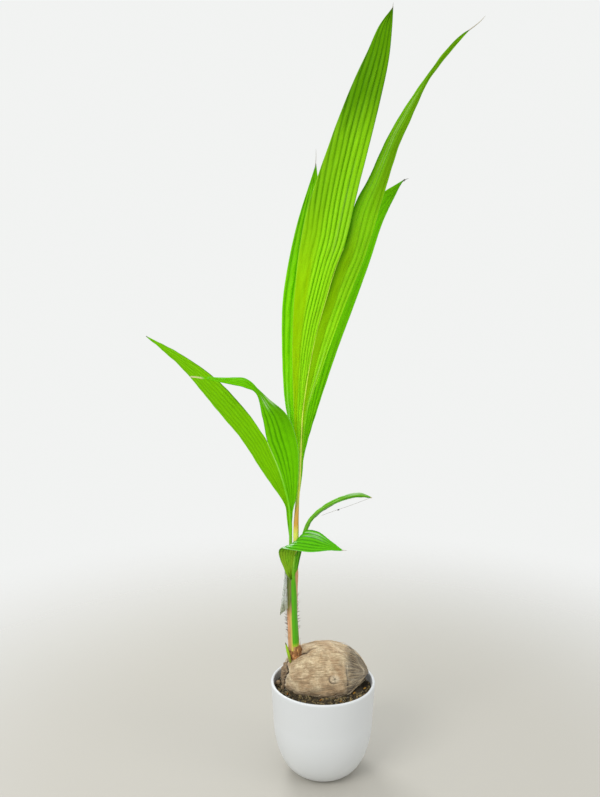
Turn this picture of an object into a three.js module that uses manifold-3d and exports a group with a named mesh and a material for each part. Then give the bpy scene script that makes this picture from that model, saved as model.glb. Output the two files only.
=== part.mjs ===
// A young coconut palm, still growing from its husked nut, which lies half sunk in a filled white pot.
// Millimetres. +Z is up, +X is to the right and +Y is away from the front.
// The origin is the centre of the pot's flat underside.
import * as THREE from "three";
import { mergeVertices } from "three/addons/utils/BufferGeometryUtils.js";
import Module from "manifold-3d";

// Gaps between pieces that touch on the real plant
const GAP = 0.3;

// Pot: a flat foot, a quarter-ellipse shoulder, a slightly flared wall and a rounded lip
const POT_HEIGHT = 171;
const POT_FOOT_RADIUS = 40;
const POT_SHOULDER_HEIGHT = 105;
const POT_SHOULDER_RADIUS = 91;
const POT_RIM_RADIUS = 95.4;
const POT_WALL = 5.5;
const POT_FLOOR = 7;
const LIP_ROUND = 1.8;
const POT_SIDES = 48;
const SHOULDER_STEPS = 7;

// Potting soil fills the pot to this height
const SOIL_LEVEL = 158;

// Nut: a blunt three-ribbed egg lying along X, tilted so that the end under the stem is lower
const HUSK_CENTRE = [3, 12, 171];
const HUSK_TILT_DEGREES = 4;
const HUSK_HALF_LENGTH = 80;
const HUSK_HALF_DEPTH = 55;
const HUSK_HALF_HEIGHT = 65;
const HUSK_RIB = 0.035;
const HUSK_LEFT_BLUNTNESS = 2.4;
const HUSK_RIGHT_BLUNTNESS = 2.1;
const HUSK_GIRTH_POWER = 0.55;
const HUSK_END_SHARE = 0.02;
const HUSK_RINGS = 18;
const HUSK_SIDES = 30;

// Stem: leaf sheaths rolled into one oval stalk that rises from a fibrous collar in the husk
const COLLAR = {
  path: [[-48.5, 5, 192], [-50, 4.6, 214], [-52, 4.2, 236]],
  across: [12, 12.4, 10.6],
  deep: [11, 11.4, 10.2],
};
const STEM = {
  path: [[-52, 4.2, 236.3], [-53.6, 3.5, 285], [-54, 3, 345], [-53.5, 3, 413]],
  across: [10.1, 8.7, 7.5, 8.5],
  deep: [9.8, 8.5, 7.8, 9.6],
};
const SCALE_LEAF = {
  path: [[-59.5, -8, 208], [-63.5, -8, 226], [-68.5, -6, 245]],
  across: [2.4, 2.1, 0.6],
  deep: [4, 3.4, 0.8],
};

// Faces of the limbs: rings along each and sides round it
const COLLAR_RINGS = 4;
const STEM_RINGS = 8;
const STEM_SIDES = 16;
const SCALE_RINGS = 4;
const SCALE_SIDES = 8;
const STALK_RINGS = 20;
const STALK_SIDES = 10;

// Blades: pleated sheets, each a hundredth of its length thick
const LEAST_STEPS = 4;
const THICKNESS_SHARE = 0.01;
const LEAST_THICKNESS = 1.6;
const THIN_EDGE = 0.4;
const WIDTH_PER_THICKNESS = 2.5;
const PLEAT_DEPTH = 1.6;
const FULL_PLEAT_WIDTH = 40;
const RIDING_POINTS = 14;
const MIDRIB_GAP = 0.75;
const MOST_CLEARANCE = 0.7;
const CLEARANCE_HOLD = 1.15;

// Each leaf has a stalk that runs on as the midrib up to the notch between its two lobes.
// A lobe is a sheet between two edges. Its inner edge follows the midrib from the share
// bladeFrom of the stalk's length to the notch and then runs free to the tip.
// A lobe with a bend is two pieces, which part at that share of its length.
const LEAVES = {
  front_leaf: {
    stalk: {
      path: [[-49, 0, 413.3], [-48, 0, 472], [-44, -1, 549], [-38, -4, 643], [-30, -10, 728],
        [-16, -18, 804], [3, -28, 879], [31, -38, 946]],
      across: [4.5, 3.6, 2.2, 1.8, 1.4],
      deep: [4.2, 3.5, 2.4, 1.8, 1.4],
    },
    bladeFrom: 0.25,
    lobes: {
      left_lobe: {
        side: -1, pleats: 8, steps: 28, camber: 0.05,
        free: [[49, -48, 1031], [68, -54, 1106], [87, -56, 1183], [103, -52, 1319]],
        outer: [[-52, -3, 553], [-53, -14, 655], [-55, -28, 769], [-52, -40, 862],
          [-35, -54, 989], [9, -62, 1123], [56, -58, 1234], [97, -53, 1311]],
      },
      right_lobe: {
        side: 1, pleats: 6, steps: 24, camber: 0.1, bend: 0.6,
        free: [[49, -28, 1019], [72, -24, 1063], [109, -16, 1141], [160, -4, 1220], [210, 8, 1287],
          [267, 20, 1335]],
        outer: [[-37, -1, 556], [-30, -3, 662], [-4, -8, 743], [31, -12, 843], [68, -14, 937],
          [100, -12, 1055], [140, -4, 1163], [191, 8, 1255], [265, 20, 1330]],
      },
    },
  },
  back_leaf: {
    stalk: {
      path: [[-47, 8.5, 413.3], [-45, 10, 469], [-41, 13, 524], [-38, 20, 613], [-31, 32, 720],
        [-21, 46, 817], [-4, 60, 906]],
      across: [2.9, 2.4, 1.8, 1.4],
      deep: [2.9, 2.4, 1.8, 1.4],
    },
    bladeFrom: 0.24,
    lobes: {
      left_lobe: {
        side: -1, pleats: 6, steps: 18, camber: 0.05,
        free: [[-4, 72, 977], [-7, 84, 1048], [-13, 92, 1105]],
        outer: [[-48, 14, 525], [-60, 24, 631], [-71, 34, 711], [-73, 48, 808], [-63, 62, 915],
          [-39, 78, 1018], [-17, 90, 1093]],
      },
      right_lobe: {
        side: 1, pleats: 6, steps: 18, camber: 0.05,
        free: [[6, 62, 937], [29, 66, 971], [70, 72, 1022], [108, 78, 1053], [146, 84, 1074]],
        outer: [[-35, 14, 529], [-33, 24, 604], [-4, 38, 701], [32, 52, 801], [67, 62, 897],
          [103, 72, 1000], [141, 83, 1071]],
      },
    },
  },
  left_leaf: {
    stalk: {
      path: [[-59, 1, 413.3], [-59, -2, 473], [-62, -5, 505], [-77, -12, 562], [-99, -16, 617]],
      across: [2.7, 2.6, 2, 1.3],
      deep: [2.7, 2.6, 2, 1.3],
    },
    bladeFrom: 0.4,
    lobes: {
      long_lobe: {
        side: -1, pleats: 6, steps: 16, camber: 0.05,
        free: [[-140, -8, 675], [-196, 8, 730], [-258, 30, 769], [-319, 54, 797]],
        outer: [[-65, -6, 492], [-95, -4, 539], [-142, 4, 613], [-195, 18, 675], [-253, 36, 741],
          [-317, 54, 795]],
      },
      bent_lobe: {
        side: 1, pleats: 6, steps: 20, camber: 0.04, bend: 0.58,
        free: [[-107, -28, 662], [-117, -44, 706], [-134, -52, 716], [-182, -62, 728],
          [-224, -70, 736]],
        outer: [[-57, -9, 493], [-48, -20, 528], [-46, -30, 614], [-64, -36, 667], [-102, -36, 705],
          [-134, -30, 729], [-169, -44, 732], [-223, -68, 737]],
      },
    },
  },
  low_leaf: {
    stalk: {
      path: [[-52, -8, 241], [-52, -7.7, 295], [-54.5, -8.2, 359], [-53, -11, 387], [-51, -12, 410]],
      across: [4.4, 5, 3.8, 2.6, 1.2],
      deep: [2, 2.2, 2.2, 2, 1.2],
    },
    bladeFrom: 0.76,
    lobes: {
      curled_lobe: {
        side: -1, pleats: 6, steps: 20, camber: 0.04, bend: 0.42,
        free: [[-44, -15, 433], [-33, -24, 459], [-11, -38, 462], [11, -52, 450], [32, -64, 437]],
        outer: [[-61, -12, 362], [-68, -14, 386], [-77, -17, 404], [-80, -22, 420], [-75, -38, 433],
          [-56, -56, 436], [-25, -66, 435], [9, -68, 438], [31, -65, 436]],
      },
      arching_lobe: {
        side: 1, pleats: 2, steps: 16, camber: 0.05, bend: 0.42,
        free: [[-45, -4, 422], [-28, 10, 467], [5, 20, 495], [39, 24, 511], [66, 24, 516],
          [88, 20, 508]],
        outer: [[-46, -11, 385], [-38, -12, 421], [-19, -8, 473], [11, -2, 496], [47, 4, 509],
          [69, 10, 510], [87, 18, 507]],
      },
    },
  },
};

// A dry papery remnant of the first sheath hangs at the stem's left side
const DRY_SHEATH = {
  inner: [[-63.4, 2, 376], [-63.2, 1.5, 342], [-64, 0, 309], [-77, -7, 299]],
  outer: [[-68, -3, 383], [-73, -6, 340], [-78, -8, 298]],
  side: -1, pleats: 2, steps: 8, camber: 0.12,
};

// Finish of each kind of piece: colour, roughness
const FINISH = {
  glaze: ["#eceff0", 0.25],
  soil: ["#3a3029", 0.95],
  husk: ["#a58e70", 0.9],
  collar: ["#a9713f", 0.85],
  sheath: ["#c2956a", 0.7],
  stalk: ["#8aa22a", 0.5],
  blade: ["#5da50b", 0.4],
  dry: ["#a9a79d", 0.85],
};

const wasm = await Module();
wasm.setup();

const palm = new THREE.Group();

function addMesh(name, geometry, finish) {
  const [color, roughness] = FINISH[finish];
  geometry.computeVertexNormals();
  const material = new THREE.MeshStandardMaterial({ color, roughness, metalness: 0 });
  const mesh = new THREE.Mesh(geometry, material);
  mesh.name = name;
  palm.add(mesh);
}

function curveThrough(points) {
  return new THREE.CatmullRomCurve3(
    points.map((p) => new THREE.Vector3(...p)), false, "centripetal");
}

// The value at share t along a list of values at equal steps
function along(values, t) {
  const place = t * (values.length - 1);
  const low = Math.min(Math.floor(place), values.length - 2);
  return THREE.MathUtils.lerp(values[low], values[low + 1], place - low);
}

function signedVolume(points, faces) {
  let six = 0;
  for (const [a, b, c] of faces) {
    six += points[a].dot(new THREE.Vector3().crossVectors(points[b], points[c]));
  }
  return six / 6;
}

// One closed skin over a row of rings with equally many points. The ends are closed by
// zipping each ring's first half to its second half.
function skinOver(rings) {
  const count = rings[0].length;
  const points = rings.flat();
  const faces = [];
  for (let i = 0; i + 1 < rings.length; i++) {
    for (let j = 0; j < count; j++) {
      const a = i * count + j;
      const b = i * count + ((j + 1) % count);
      faces.push([a, b, b + count], [a, b + count, a + count]);
    }
  }
  const last = (rings.length - 1) * count;
  for (let j = 0; j + 1 < count / 2; j++) {
    const [a, b, c, d] = [j, j + 1, count - 2 - j, count - 1 - j];
    faces.push([b, a, d], [c, b, d]);
    faces.push([last + a, last + b, last + d], [last + b, last + c, last + d]);
  }
  if (signedVolume(points, faces) < 0) faces.forEach((face) => face.reverse());
  // the two closing triangles on the fold line of a zipped end have no area
  const solidFaces = faces.filter(([a, b, c]) => a !== b && b !== c && c !== a);
  const geometry = new THREE.BufferGeometry();
  geometry.setAttribute(
    "position", new THREE.Float32BufferAttribute(points.flatMap((p) => [p.x, p.y, p.z]), 3));
  geometry.setIndex(solidFaces.flat());
  return geometry;
}

// An oval ring round a centre, with half-widths along two directions
function ovalRing(centre, across, deep, halfAcross, halfDeep, sides) {
  return Array.from({ length: sides }, (_, i) => {
    const turn = ((i + 0.5) / sides) * 2 * Math.PI;
    return centre.clone()
      .addScaledVector(across, halfAcross * Math.cos(turn))
      .addScaledVector(deep, halfDeep * Math.sin(turn));
  });
}

// A tapering oval limb along a path. Its rings stand square to the path, or level if it is upright.
function limb({ path, across, deep }, rings, sides, { level = false, grow = 0 } = {}) {
  const curve = curveThrough(path);
  const shares = Array.from({ length: rings + 1 }, (_, i) => i / rings);
  return skinOver(shares.map((t) => {
    const direction = level || t === 0 ? new THREE.Vector3(0, 0, 1) : curve.getTangentAt(t);
    const sideways = new THREE.Vector3(0, 1, 0).cross(direction).normalize();
    const backward = new THREE.Vector3().crossVectors(direction, sideways);
    return ovalRing(
      curve.getPointAt(t), sideways, backward, along(across, t) + grow, along(deep, t) + grow, sides);
  }));
}

function asSolid(geometry) {
  geometry.deleteAttribute("normal");
  geometry.deleteAttribute("uv");
  const merged = mergeVertices(geometry, 1e-3);
  return new wasm.Manifold(new wasm.Mesh({
    numProp: 3,
    vertProperties: new Float32Array(merged.attributes.position.array),
    triVerts: new Uint32Array(merged.index.array),
  }));
}

function asGeometry(solid) {
  const { vertProperties, triVerts } = solid.getMesh();
  const geometry = new THREE.BufferGeometry();
  geometry.setAttribute("position", new THREE.BufferAttribute(vertProperties, 3));
  geometry.setIndex(new THREE.BufferAttribute(triVerts, 1));
  return geometry;
}

function potRadius(z) {
  if (z < POT_SHOULDER_HEIGHT) {
    const drop = 1 - z / POT_SHOULDER_HEIGHT;
    const swell = Math.sqrt(1 - drop * drop);
    return THREE.MathUtils.lerp(POT_FOOT_RADIUS, POT_SHOULDER_RADIUS, swell);
  }
  const rise = (z - POT_SHOULDER_HEIGHT) / (POT_HEIGHT - POT_SHOULDER_HEIGHT);
  return THREE.MathUtils.lerp(POT_SHOULDER_RADIUS, POT_RIM_RADIUS, rise);
}

// Points up the pot's wall from one height to another, set inwards by an inset
function wallProfile(from, to, inset) {
  const heights = [from];
  for (let i = 1; i < SHOULDER_STEPS; i++) {
    const height = POT_SHOULDER_HEIGHT * (1 - Math.cos((i / SHOULDER_STEPS) * (Math.PI / 2)));
    if (height > from) heights.push(height);
  }
  heights.push(POT_SHOULDER_HEIGHT, to);
  return heights.map((z) => new THREE.Vector2(potRadius(z) - inset, z));
}

function makePot() {
  const lipFoot = POT_HEIGHT - LIP_ROUND;
  const innerRim = POT_RIM_RADIUS - POT_WALL;
  return new THREE.LatheGeometry([
    new THREE.Vector2(0, 0),
    ...wallProfile(0, lipFoot, 0),
    new THREE.Vector2(POT_RIM_RADIUS - LIP_ROUND, POT_HEIGHT),
    new THREE.Vector2(innerRim + LIP_ROUND, POT_HEIGHT),
    ...wallProfile(POT_FLOOR, lipFoot, POT_WALL).reverse(),
    new THREE.Vector2(0, POT_FLOOR),
  ], POT_SIDES).rotateX(Math.PI / 2);
}

function makeSoil() {
  const fill = new THREE.LatheGeometry([
    new THREE.Vector2(0, POT_FLOOR + GAP),
    ...wallProfile(POT_FLOOR + GAP, SOIL_LEVEL, POT_WALL + GAP),
    new THREE.Vector2(0, SOIL_LEVEL),
  ], POT_SIDES).rotateX(Math.PI / 2);
  return asGeometry(asSolid(fill).subtract(asSolid(huskSkin(GAP))));
}

// Rings along X whose radius falls to each end, with three blunt ribs along the nut
function huskSkin(grow) {
  const centre = new THREE.Vector3(...HUSK_CENTRE);
  const sideAxis = new THREE.Vector3(0, 1, 0);
  const tilt = THREE.MathUtils.degToRad(-HUSK_TILT_DEGREES);
  const rings = [];
  for (let i = 0; i <= HUSK_RINGS; i++) {
    const angle = Math.PI * THREE.MathUtils.lerp(HUSK_END_SHARE, 1 - HUSK_END_SHARE, i / HUSK_RINGS);
    const share = -Math.cos(angle);
    const bluntness = share < 0 ? HUSK_LEFT_BLUNTNESS : HUSK_RIGHT_BLUNTNESS;
    const girth = Math.pow(1 - Math.pow(Math.abs(share), bluntness), HUSK_GIRTH_POWER);
    const ring = [];
    for (let j = 0; j < HUSK_SIDES; j++) {
      const turn = (j / HUSK_SIDES) * 2 * Math.PI;
      const swell = girth * (1 + HUSK_RIB * Math.cos(3 * turn - Math.PI / 2));
      ring.push(new THREE.Vector3(
        share * (HUSK_HALF_LENGTH + grow),
        swell * (HUSK_HALF_DEPTH + grow) * Math.cos(turn),
        swell * (HUSK_HALF_HEIGHT + grow) * Math.sin(turn),
      ).applyAxisAngle(sideAxis, tilt).add(centre));
    }
    rings.push(ring);
  }
  return skinOver(rings);
}

function makeHusk() {
  const [foot, middle, top] = COLLAR.path;
  const [x, y] = top;
  const socket = {
    path: [[foot[0], foot[1], foot[2] - GAP], middle, [x, y, top[2] + GAP]],
    across: COLLAR.across,
    deep: COLLAR.deep,
  };
  const hole = limb(socket, COLLAR_RINGS, STEM_SIDES, { level: true, grow: GAP });
  return asGeometry(asSolid(huskSkin(0)).subtract(asSolid(hole)));
}

// A pleated sheet between an inner and an outer edge, from share t0 to share t1 of its length.
// clear is the distance that its inner edge keeps from the edge curve at each share.
function blade(lobe, t0, t1, clear) {
  const inner = curveThrough(lobe.inner);
  const outer = curveThrough(lobe.outer);
  const length = (inner.getLength() + outer.getLength()) / 2;
  const full = Math.max(THICKNESS_SHARE * length, LEAST_THICKNESS);
  const steps = Math.max(LEAST_STEPS, Math.round(lobe.steps * (t1 - t0)));
  const rings = [];
  for (let i = 0; i <= steps; i++) {
    const t = THREE.MathUtils.lerp(t0, t1, i / steps);
    const root = inner.getPointAt(t);
    const reach = outer.getPointAt(t).sub(root);
    const width = reach.length();
    const forward = inner.getTangentAt(t).add(outer.getTangentAt(t));
    const facing = new THREE.Vector3().crossVectors(forward, reach).multiplyScalar(-lobe.side);
    facing.normalize();
    const half = full * Math.min(1, width / (WIDTH_PER_THICKNESS * full)) / 2;
    const fold = PLEAT_DEPTH * Math.min(1, width / FULL_PLEAT_WIDTH);
    const slant = inner.getTangentAt(t).angleTo(reach);
    const start = Math.min(clear(t) / (width * Math.sin(slant)), MOST_CLEARANCE);
    const front = [];
    const back = [];
    for (let j = 0; j <= lobe.pleats; j++) {
      const s = THREE.MathUtils.lerp(start, 1, j / lobe.pleats);
      const edge = j === 0 || j === lobe.pleats ? THIN_EDGE : 1;
      const rise = lobe.camber * width * 4 * s * (1 - s) + (j % 2 ? fold : -fold) / 2;
      const middle = root.clone().addScaledVector(reach, s).addScaledVector(facing, rise);
      front.push(middle.clone().addScaledVector(facing, half * edge));
      back.unshift(middle.clone().addScaledVector(facing, -half * edge));
    }
    rings.push([...front, ...back]);
  }
  return skinOver(rings);
}

// A lobe's inner edge follows the stalk from the blade's start to the notch, then runs free.
// It keeps clear of the midrib by the midrib's half-width, and comes back to its curve at the tip.
function addLobe(name, leaf, lobe) {
  const stalk = curveThrough(leaf.stalk.path);
  const riding = Array.from({ length: RIDING_POINTS }, (_, i) => stalk.getPointAt(
    THREE.MathUtils.lerp(leaf.bladeFrom, 1, i / (RIDING_POINTS - 1))).toArray());
  const shape = { ...lobe, inner: [...riding, ...lobe.free] };
  const notch = curveThrough(riding).getLength() / curveThrough(shape.inner).getLength();
  const clear = (t) => {
    const share = THREE.MathUtils.lerp(leaf.bladeFrom, 1, Math.min(t / notch, 1));
    const beside = along(leaf.stalk.across, share) + MIDRIB_GAP;
    return beside * Math.min(1, (CLEARANCE_HOLD * (1 - t)) / (1 - notch));
  };
  if (!lobe.bend) {
    addMesh(name, blade(shape, 0, 1, clear), "blade");
    return;
  }
  const halfGap = GAP / curveThrough(shape.inner).getLength();
  addMesh(name + "_rise", blade(shape, 0, lobe.bend - halfGap, clear), "blade");
  addMesh(name + "_tip", blade(shape, lobe.bend + halfGap, 1, clear), "blade");
}

addMesh("pot", makePot(), "glaze");
addMesh("soil", makeSoil(), "soil");
addMesh("coconut_husk", makeHusk(), "husk");
addMesh("fibre_collar", limb(COLLAR, COLLAR_RINGS, STEM_SIDES, { level: true }), "collar");
addMesh("stem", limb(STEM, STEM_RINGS, STEM_SIDES, { level: true }), "sheath");
addMesh("scale_leaf", limb(SCALE_LEAF, SCALE_RINGS, SCALE_SIDES), "blade");
addMesh("dry_sheath", blade(DRY_SHEATH, 0, 1, () => 0), "dry");

for (const [leafName, leaf] of Object.entries(LEAVES)) {
  addMesh(leafName + "_stalk", limb(leaf.stalk, STALK_RINGS, STALK_SIDES), "stalk");
  for (const [lobeName, lobe] of Object.entries(leaf.lobes)) {
    addLobe(leafName + "_" + lobeName, leaf, lobe);
  }
}

export default palm;
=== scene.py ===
import bmesh
import bpy
import math
import numpy as np
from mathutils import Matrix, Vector


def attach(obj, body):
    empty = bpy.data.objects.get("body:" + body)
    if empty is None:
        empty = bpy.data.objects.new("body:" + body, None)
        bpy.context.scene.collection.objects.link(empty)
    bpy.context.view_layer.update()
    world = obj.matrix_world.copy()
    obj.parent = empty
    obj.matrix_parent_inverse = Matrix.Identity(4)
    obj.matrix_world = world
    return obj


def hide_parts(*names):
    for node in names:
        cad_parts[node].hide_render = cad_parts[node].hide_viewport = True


# A young coconut palm that still grows from its nut, which lies in its husk half sunk in the soil of
# a rounded white pot. Metres: +Z is up, +X is to the right and +Y is away from the front.
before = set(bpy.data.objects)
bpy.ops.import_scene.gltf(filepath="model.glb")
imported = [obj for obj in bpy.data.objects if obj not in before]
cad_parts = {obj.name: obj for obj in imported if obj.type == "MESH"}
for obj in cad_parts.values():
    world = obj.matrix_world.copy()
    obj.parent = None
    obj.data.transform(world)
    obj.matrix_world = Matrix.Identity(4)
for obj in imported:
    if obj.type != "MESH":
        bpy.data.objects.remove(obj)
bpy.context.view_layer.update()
scene = bpy.context.scene

# Camera: two thirds of the way up the plant, 1.4 m in front of the pot, and tipped a little down
camera_place = (-0.042, -1.382, 0.874)
camera_tip_degrees = 7.55
lens = bpy.data.cameras.new("camera")
lens.lens = 36.0
lens.sensor_width = 36.0
camera = bpy.data.objects.new("camera", lens)
camera.location = camera_place
camera.rotation_euler = (math.radians(90 - camera_tip_degrees), 0, 0)
scene.collection.objects.link(camera)
scene.camera = camera

# Light: a pale room all round, a large soft key light from the upper left in front, and two
# weaker panels, one from behind for the glow of the leaves and one from the right
scene.view_settings.view_transform = "Standard"
scene.view_settings.look = "None"


def add_node(tree, kind, inputs=None, **settings):
    """A shader node with its settings. Its inputs are numbers, colours or other nodes' outputs."""
    node = tree.nodes.new("ShaderNode" + kind)
    for setting, value in settings.items():
        setattr(node, setting, value)
    for socket, value in (inputs or {}).items():
        if isinstance(value, bpy.types.NodeSocket):
            tree.links.new(value, node.inputs[socket])
        else:
            node.inputs[socket].default_value = value
    return node


def add_panel(name, place, target, size, watts, tint):
    """A square area light at place that faces target."""
    light = bpy.data.lights.new(name, "AREA")
    light.size = size
    light.energy = watts
    light.color = tint
    panel = bpy.data.objects.new(name, light)
    panel.location = place
    aim = Vector(target) - Vector(place)
    panel.rotation_euler = aim.to_track_quat("-Z", "Y").to_euler()
    scene.collection.objects.link(panel)


world = bpy.data.worlds.new("room")
scene.world = world
world.use_nodes = True
room = world.node_tree
room.nodes.clear()
room_height = add_node(room, "SeparateXYZ", {0: add_node(room, "TexCoord").outputs["Generated"]})
room_light = add_node(room, "MapRange", {
    "Value": room_height.outputs["Z"], "From Min": -0.6, "From Max": 0.9, "To Min": 0.42, "To Max": 0.90})
room_seen = add_node(room, "Background", {"Color": (0.885, 0.895, 0.885, 1), "Strength": 1.0})
room_lit = add_node(room, "Background", {"Color": (0.97, 0.99, 1.0, 1), "Strength": room_light.outputs[0]})
room_mix = add_node(room, "MixShader", {
    0: add_node(room, "LightPath").outputs["Is Camera Ray"],
    1: room_lit.outputs[0], 2: room_seen.outputs[0]})
add_node(room, "OutputWorld", {"Surface": room_mix.outputs[0]})
add_panel("key", (-1.9, -2.3, 2.2), (0.0, 0.0, 0.60), 1.7, 58, (1.0, 0.99, 0.97))
add_panel("behind", (-0.9, 2.0, 2.2), (0.0, 0.0, 0.7), 1.2, 30, (0.96, 0.98, 1.0))
add_panel("right", (2.4, -1.2, 1.3), (0.0, 0.0, 0.6), 1.2, 11, (1.0, 0.98, 0.95))

# Floor: a plain pale disc that fades into the room
floor_radius = 3.0
floor_sides = 96
floor_drop = 0.0004


def new_material(name):
    """A material whose tree holds one Principled shader, joined to the output."""
    material = bpy.data.materials.new(name)
    material.use_nodes = True
    tree = material.node_tree
    tree.nodes.clear()
    shader = add_node(tree, "BsdfPrincipled")
    add_node(tree, "OutputMaterial", {"Surface": shader.outputs[0]})
    return material, tree, shader


def set_inputs(tree, shader, **values):
    """Sets or joins the sockets of a shader. Underscores in their names stand for spaces."""
    for name, value in values.items():
        socket = shader.inputs[name.replace("_", " ")]
        if isinstance(value, bpy.types.NodeSocket):
            tree.links.new(value, socket)
        else:
            socket.default_value = value


def make_piece(name, points, faces, material, smooth=True, **marks):
    """A mesh at the origin from points (n, 3) and faces (m, 3 or 4). Each mark is one number a point."""
    mesh = bpy.data.meshes.new(name)
    mesh.from_pydata(np.asarray(points).tolist(), [], np.asarray(faces).tolist())
    for mark, values in marks.items():
        layer = mesh.attributes.new(mark, "FLOAT", "POINT")
        layer.data.foreach_set("value", np.ravel(values).astype(np.float32))
    if smooth:
        mesh.shade_smooth()
    mesh.materials.append(material)
    piece = bpy.data.objects.new(name, mesh)
    scene.collection.objects.link(piece)
    return piece


floor_paint, tree, shader = new_material("floor_paint")
floor_place = add_node(tree, "TexCoord").outputs["Object"]
floor_reach = add_node(tree, "VectorMath", {0: floor_place}, operation="LENGTH")
floor_fade = add_node(tree, "MapRange", {
    "Value": floor_reach.outputs["Value"], "From Min": 0.4, "From Max": 1.5, "To Min": 1.0, "To Max": 0.0},
    interpolation_type="SMOOTHSTEP")
set_inputs(tree, shader, Base_Color=(0.49, 0.47, 0.42, 1), Roughness=0.8, Alpha=floor_fade.outputs[0])
floor_turn = np.linspace(0, 2 * np.pi, floor_sides, endpoint=False)
floor_points = np.stack([
    floor_radius * np.cos(floor_turn), floor_radius * np.sin(floor_turn),
    np.full(floor_sides, -floor_drop)], -1)
floor = make_piece("floor", floor_points, [list(range(floor_sides))], floor_paint)

# Pot: slip-cast stoneware under a white satin glaze. It swells from a small flat foot in a quarter
# ellipse and flares a little to a rounded lip. The foot ring's glaze is wiped off.
pot_height = 0.171
pot_foot_radius = 0.040
pot_shoulder_height = 0.105
pot_shoulder_radius = 0.091
pot_rim_radius = 0.0954
pot_wall = 0.0055
pot_floor = 0.007
lip_height = 0.0028
pot_sides = 144


def unit(vectors):
    """Vectors divided by their lengths."""
    return vectors / np.maximum(np.linalg.norm(vectors, axis=-1, keepdims=True), 1e-12)


def skin(name, rings, material, smooth=True, **marks):
    """A closed skin over rings (rows, points, 3): quads join each ring to the next, and each end
    ring's first half is joined to its second half read backwards. All faces are turned round if
    the signed volume, the sum of a . (b x c) over the triangles, is below zero."""
    rows, count = rings.shape[:2]
    row, column = np.meshgrid(np.arange(rows - 1), np.arange(count), indexing="ij")
    here = row * count + column
    beside = row * count + (column + 1) % count
    sides = np.stack([here, beside, beside + count, here + count], -1).reshape(-1, 4)
    step = np.arange(count // 2 - 1)
    end = np.stack([step, step + 1, count - 2 - step, count - 1 - step], -1)
    faces = np.vstack([sides, end[:, ::-1], end + (rows - 1) * count])
    points = rings.reshape(-1, 3)
    a, b, c, d = (points[faces[:, k]] - points.mean(0) for k in range(4))
    volume = np.sum(a * np.cross(b, c)) + np.sum(a * np.cross(c, d))
    if volume < 0:
        faces = faces[:, ::-1]
    return make_piece(name, points, faces, material, smooth, **marks)


def lathe(profile, sides):
    """Rings (points, sides, 3) of a profile of radius and height, turned about the Z axis."""
    turn = np.linspace(0, 2 * np.pi, sides, endpoint=False)
    radius, height = profile[:, :1], profile[:, 1:]
    return np.stack([radius * np.cos(turn), radius * np.sin(turn), height + 0 * turn], -1)


def pot_profile(low, high, inset, steps):
    """Points up the pot's wall: below the shoulder the radius is the foot's plus the swell times
    sin a at the height (1 - cos a) of the shoulder, and above it runs straight to the rim."""
    bend = np.linspace(np.arccos(1 - low / pot_shoulder_height), np.pi / 2, steps)
    bowl = np.stack([pot_foot_radius + (pot_shoulder_radius - pot_foot_radius) * np.sin(bend),
                     pot_shoulder_height * (1 - np.cos(bend))], -1)
    share = np.linspace(0, 1, 12)[1:]
    wall_height = pot_shoulder_height + (high - pot_shoulder_height) * share
    flare = (wall_height - pot_shoulder_height) / (pot_height - pot_shoulder_height)
    wall = np.stack([pot_shoulder_radius + (pot_rim_radius - pot_shoulder_radius) * flare, wall_height], -1)
    return np.vstack([bowl, wall]) - [inset, 0]


lip_turn = np.linspace(0, np.pi, 15)[1:-1]
lip_foot = pot_height - lip_height
lip_centre = pot_profile(0, lip_foot, 0, 3)[-1, 0] - pot_wall / 2
lip = np.stack([lip_centre + pot_wall / 2 * np.cos(lip_turn), lip_foot + lip_height * np.sin(lip_turn)], -1)
pot_line = np.vstack([
    [[1e-5, 0.0011], [0.020, 0.0011], [0.0335, 0.0011], [0.0345, 0.0009], [0.0350, 0.0003], [0.0355, 0.0],
     [0.0385, 0.0], [0.0395, 0.0001], [0.0403, 0.0004]],
    pot_profile(0.0008, lip_foot, 0, 44), lip, pot_profile(pot_floor, lip_foot, pot_wall, 24)[::-1],
    [[0.020, pot_floor], [1e-5, pot_floor]]])


def colour(code):
    """Linear colour of a six-digit screen colour: each share c becomes ((c + 0.055) / 1.055) ** 2.4."""
    shares = np.array([int(code[i:i + 2], 16) for i in (0, 2, 4)]) / 255
    return (*(((shares + 0.055) / 1.055) ** 2.4).tolist(), 1.0)


def mixed(tree, factor, first, second, mode="MIX"):
    """The output of a node that mixes two colours, each numbers, a six-digit code or an output."""
    first, second = (colour(tone) if isinstance(tone, str) else tone for tone in (first, second))
    node = add_node(tree, "Mix", {0: factor, 6: first, 7: second}, data_type="RGBA", blend_type=mode)
    return node.outputs[2]


def ranged(tree, value, low, high, out_low=0.0, out_high=1.0):
    """The output of a smooth step from out_low at low to out_high at high."""
    node = add_node(tree, "MapRange", {
        "Value": value, "From Min": low, "From Max": high, "To Min": out_low, "To Max": out_high},
        interpolation_type="SMOOTHSTEP")
    return node.outputs[0]


def noise(tree, vector, scale, detail=3.0, roughness=0.55):
    """The output of a noise texture."""
    node = add_node(tree, "TexNoise", {
        "Vector": vector, "Scale": scale, "Detail": detail, "Roughness": roughness})
    return node.outputs["Fac"]


def bumped(tree, height, distance, strength=1.0):
    """The normal of a bump whose relief is a height from 0 to 1 times a distance in metres."""
    return add_node(tree, "Bump", {
        "Height": height, "Strength": strength, "Distance": distance}).outputs[0]


def objected(tree, scale=(1, 1, 1)):
    """Object coordinates, stretched along each axis."""
    return add_node(tree, "Mapping", {
        "Vector": add_node(tree, "TexCoord").outputs["Object"], "Scale": scale}).outputs[0]


def maths(tree, operation, first, second, **settings):
    """The output of a sum, product or the like of two values."""
    return add_node(tree, "Math", {0: first, 1: second}, operation=operation, **settings).outputs[0]


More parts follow.
